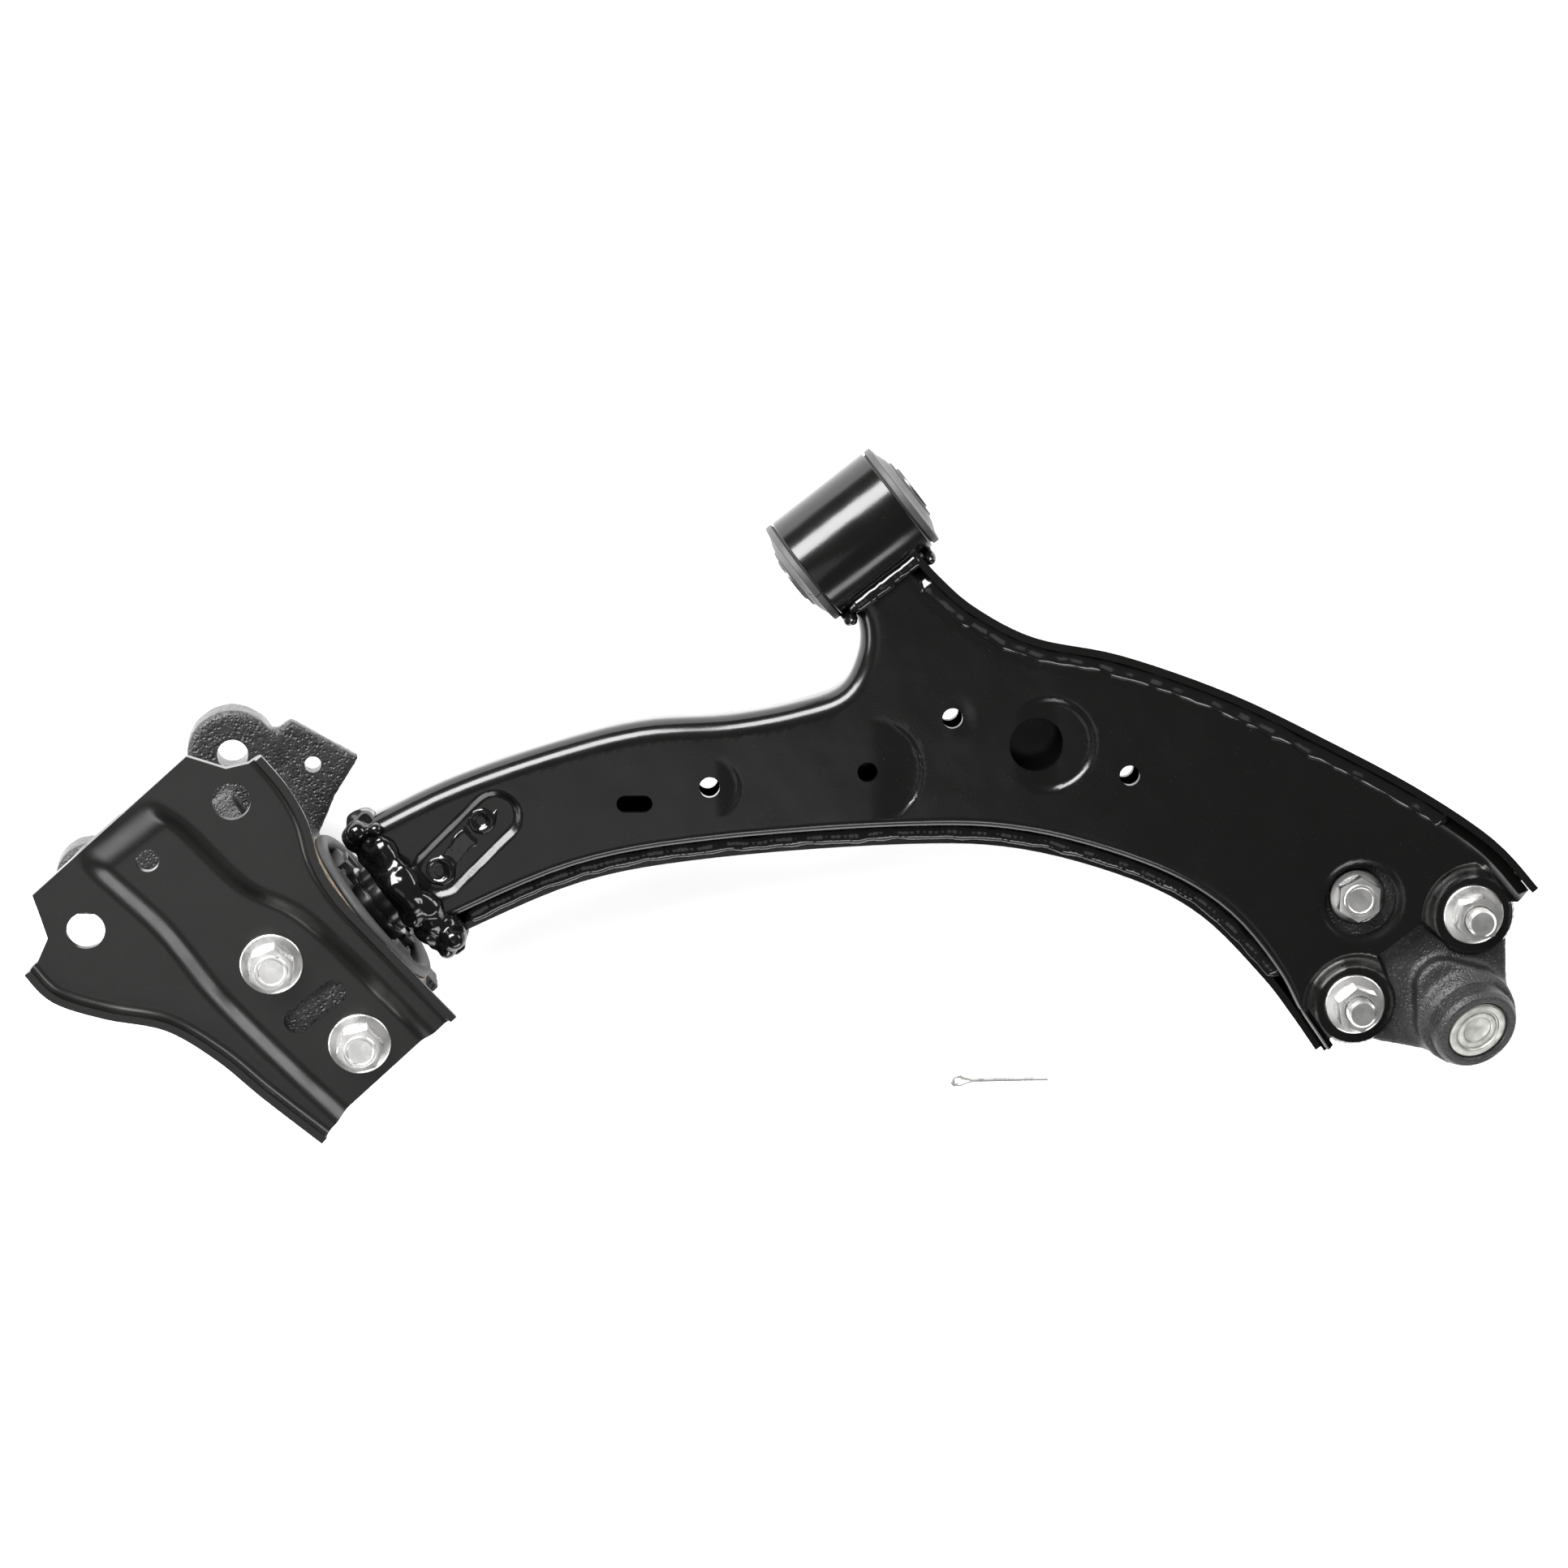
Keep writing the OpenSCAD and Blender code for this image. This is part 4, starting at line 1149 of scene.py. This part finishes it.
def makeBoot():
    spigot = ball["spigot"]
    lower = [(spigot, -15), (spigot + 1.8, -15), (spigot + 1.8, -19.6), (spigot + 2.8, -21),
             (spigot + 2.6, -23),
             (spigot + 1.4, -24.2), (spigot - 0.2, -23.4), (spigot + 0.9, -22), (spigot, -20.3)]
    bellows = solid(lathe(lower, jointPlace, 96, 0.4))
    finishPiece(bellows, "dustBootSkirt", bootPaint, None, ["dust_boot"], 60)
    (jointPlace @ Vector((0, 0, -20))) / 1000
    (jointPlace @ Vector((0, 0, -24))) / 1000
    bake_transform(bellows)
    upper = [(spigot - 0.2, -23.3), (spigot + 1.4, -24.1), (17.4, -27.0), (15.2, -27.6), (13.4, -29.4),
             (11.4, -29.2),
             (10.4, -30.4), (10.4, -34), (8.9, -34), (8.9, -28.6), (11, -27.4), (13, -27.8),
             (15, -25.9)]
    neck = solid(lathe(upper, jointPlace, 96, 0.4))
    finishPiece(neck, "dustBootNeck", bootPaint, None, ["dust_boot"], 60)
    (jointPlace @ Vector((0, 0, -24))) / 1000
    (jointPlace @ Vector((0, 0, -31))) / 1000
    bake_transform(neck)


def makeBootRings():
    for name, radius, thick, level, body, node in (
            ("lowerBootRing", ball["spigot"] + 1.8, 1.1, -18.5, "arm", "boot_ring_lower"),
            ("upperBootRing", 10.4, 1.1, -33, "boot_neck", "boot_ring_upper")):
        profile = [(radius, level), (radius + thick, level), (radius + thick, level + 2),
                   (radius, level + 2)]
        finishPiece(solid(lathe(profile, jointPlace, 96, 0.4)), name, sleevePaint, body,
                    [node])


makeHousing()
makeCap()
makeStud()
makeBoot()
makeBootRings()
frame["nodes"]["ball_seat"].data.materials.clear()
frame["nodes"]["ball_seat"].data.materials.append(seatPaint)
print("ball joint made")


pin = {"length": 43.0, "wire": 2.9, "eye": 6.5, "start": (116, 231), "turn": 142.5, "short": 6.0}


def makeCotterPin():
    half = pin["wire"] / 2
    start = Vector((*pin["start"], boxOf("cotter_pin")[0].z + half))
    eye = pin["eye"]
    section = [(half * math.cos(t), half * math.sin(t)) for t in [math.pi * k / 10 for k in range(11)]]
    path = [Vector((pin["length"], -0.05, 0)), Vector((eye + 3, -0.05, 0))]
    path += [Vector((3.1 + 2.6 * math.cos(t), -2.0 * math.sin(t), 0)) for t in
             [math.radians(40 + 280 * k / 24) for k in range(25)]]
    path += [Vector((eye + 3, 0.05, 0)), Vector((pin["length"] - pin["short"], 0.05, 0))]
    body = sweep(path, section)
    place = Matrix.Translation(start) @ Matrix.Rotation(math.radians(pin["turn"]), 4, "Z")
    piece = placed(solid(body), place)
    finishPiece(piece, "cotterPin", zincPaint, "cotter", ["cotter_pin"], 50)


makeCotterPin()


studio = {"aim": (0.0875, 0.0665, 0.0), "camera": (-0.0401, -0.2598, 1.6779), "lens": 93.2,
          "up": (-0.6091, -0.7686, -0.1958), "sensor": 36, "floorGlow": 0.45, "airLight": 0.2}
forward = (Vector(studio["aim"]) - Vector(studio["camera"])).normalized()
imageUp = Vector(studio["up"])
imageRight = forward.cross(imageUp).normalized()
imageUp = imageRight.cross(forward)


def facing(look, upward):
    side = look.cross(upward).normalized()
    return Matrix((side, side.cross(look), -look)).transposed().to_4x4()


def makeCamera():
    camera = bpy.data.objects.new("camera", bpy.data.cameras.new("camera"))
    camera.data.lens = studio["lens"]
    camera.data.sensor_width = studio["sensor"]
    camera.data.clip_end = 20
    camera.matrix_world = Matrix.Translation(studio["camera"]) @ facing(forward, imageUp)
    bpy.context.scene.collection.objects.link(camera)
    bpy.context.scene.camera = camera


def makeLight(name, towards, distance, size, power):
    # a softbox in the given direction from the part, with its long side level
    towards = Vector(towards).normalized()
    light = bpy.data.objects.new(name, bpy.data.lights.new(name, "AREA"))
    light.data.shape = "RECTANGLE"
    light.data.size, light.data.size_y = size
    light.data.energy = power
    light.matrix_world = Matrix.Translation(Vector(studio["aim"]) + towards * distance) @ facing(-towards, up)
    bpy.context.scene.collection.objects.link(light)


def makeStage():
    bm = bmesh.new()
    bmesh.ops.create_grid(bm, x_segments=1, y_segments=1, size=4)
    floor = solid(bm, "floor")
    floor.data.transform(Matrix.Translation((0.1, 0.1, cadBox[0][2] - 0.0005)))
    paint = Paint("paleFloor")
    paint.look(Base_Color=(0.86, 0.86, 0.86, 1), Roughness=0.9, Emission_Color=(1, 1, 1, 1),
               Emission_Strength=studio["floorGlow"])
    floor.data.materials.append(paint.material)
    world = bpy.data.worlds.new("studioAir")
    world.use_nodes = True
    world.node_tree.nodes["Background"].inputs["Color"].default_value = (1, 1, 1, 1)
    world.node_tree.nodes["Background"].inputs["Strength"].default_value = studio["airLight"]
    bpy.context.scene.world = world
    bpy.context.scene.view_settings.view_transform = "Standard"


makeCamera()
makeLight("keySoftbox", (-0.06, -0.72, 0.69), 1.7, (1.5, 0.75), 120)
makeLight("farSoftbox", (0.25, 0.85, 0.42), 1.8, (1.6, 0.4), 18)
makeLight("rightSoftbox", (-0.85, 0.15, 0.5), 1.8, (1.0, 0.4), 16)
makeLight("leftSoftbox", (0.9, -0.35, 0.5), 1.8, (1.0, 0.4), 16)
makeLight("overheadPanel", (0.53, 0.33, 1.7), 1.8, (0.8, 0.8), 2.2)
makeStage()
print("studio made")
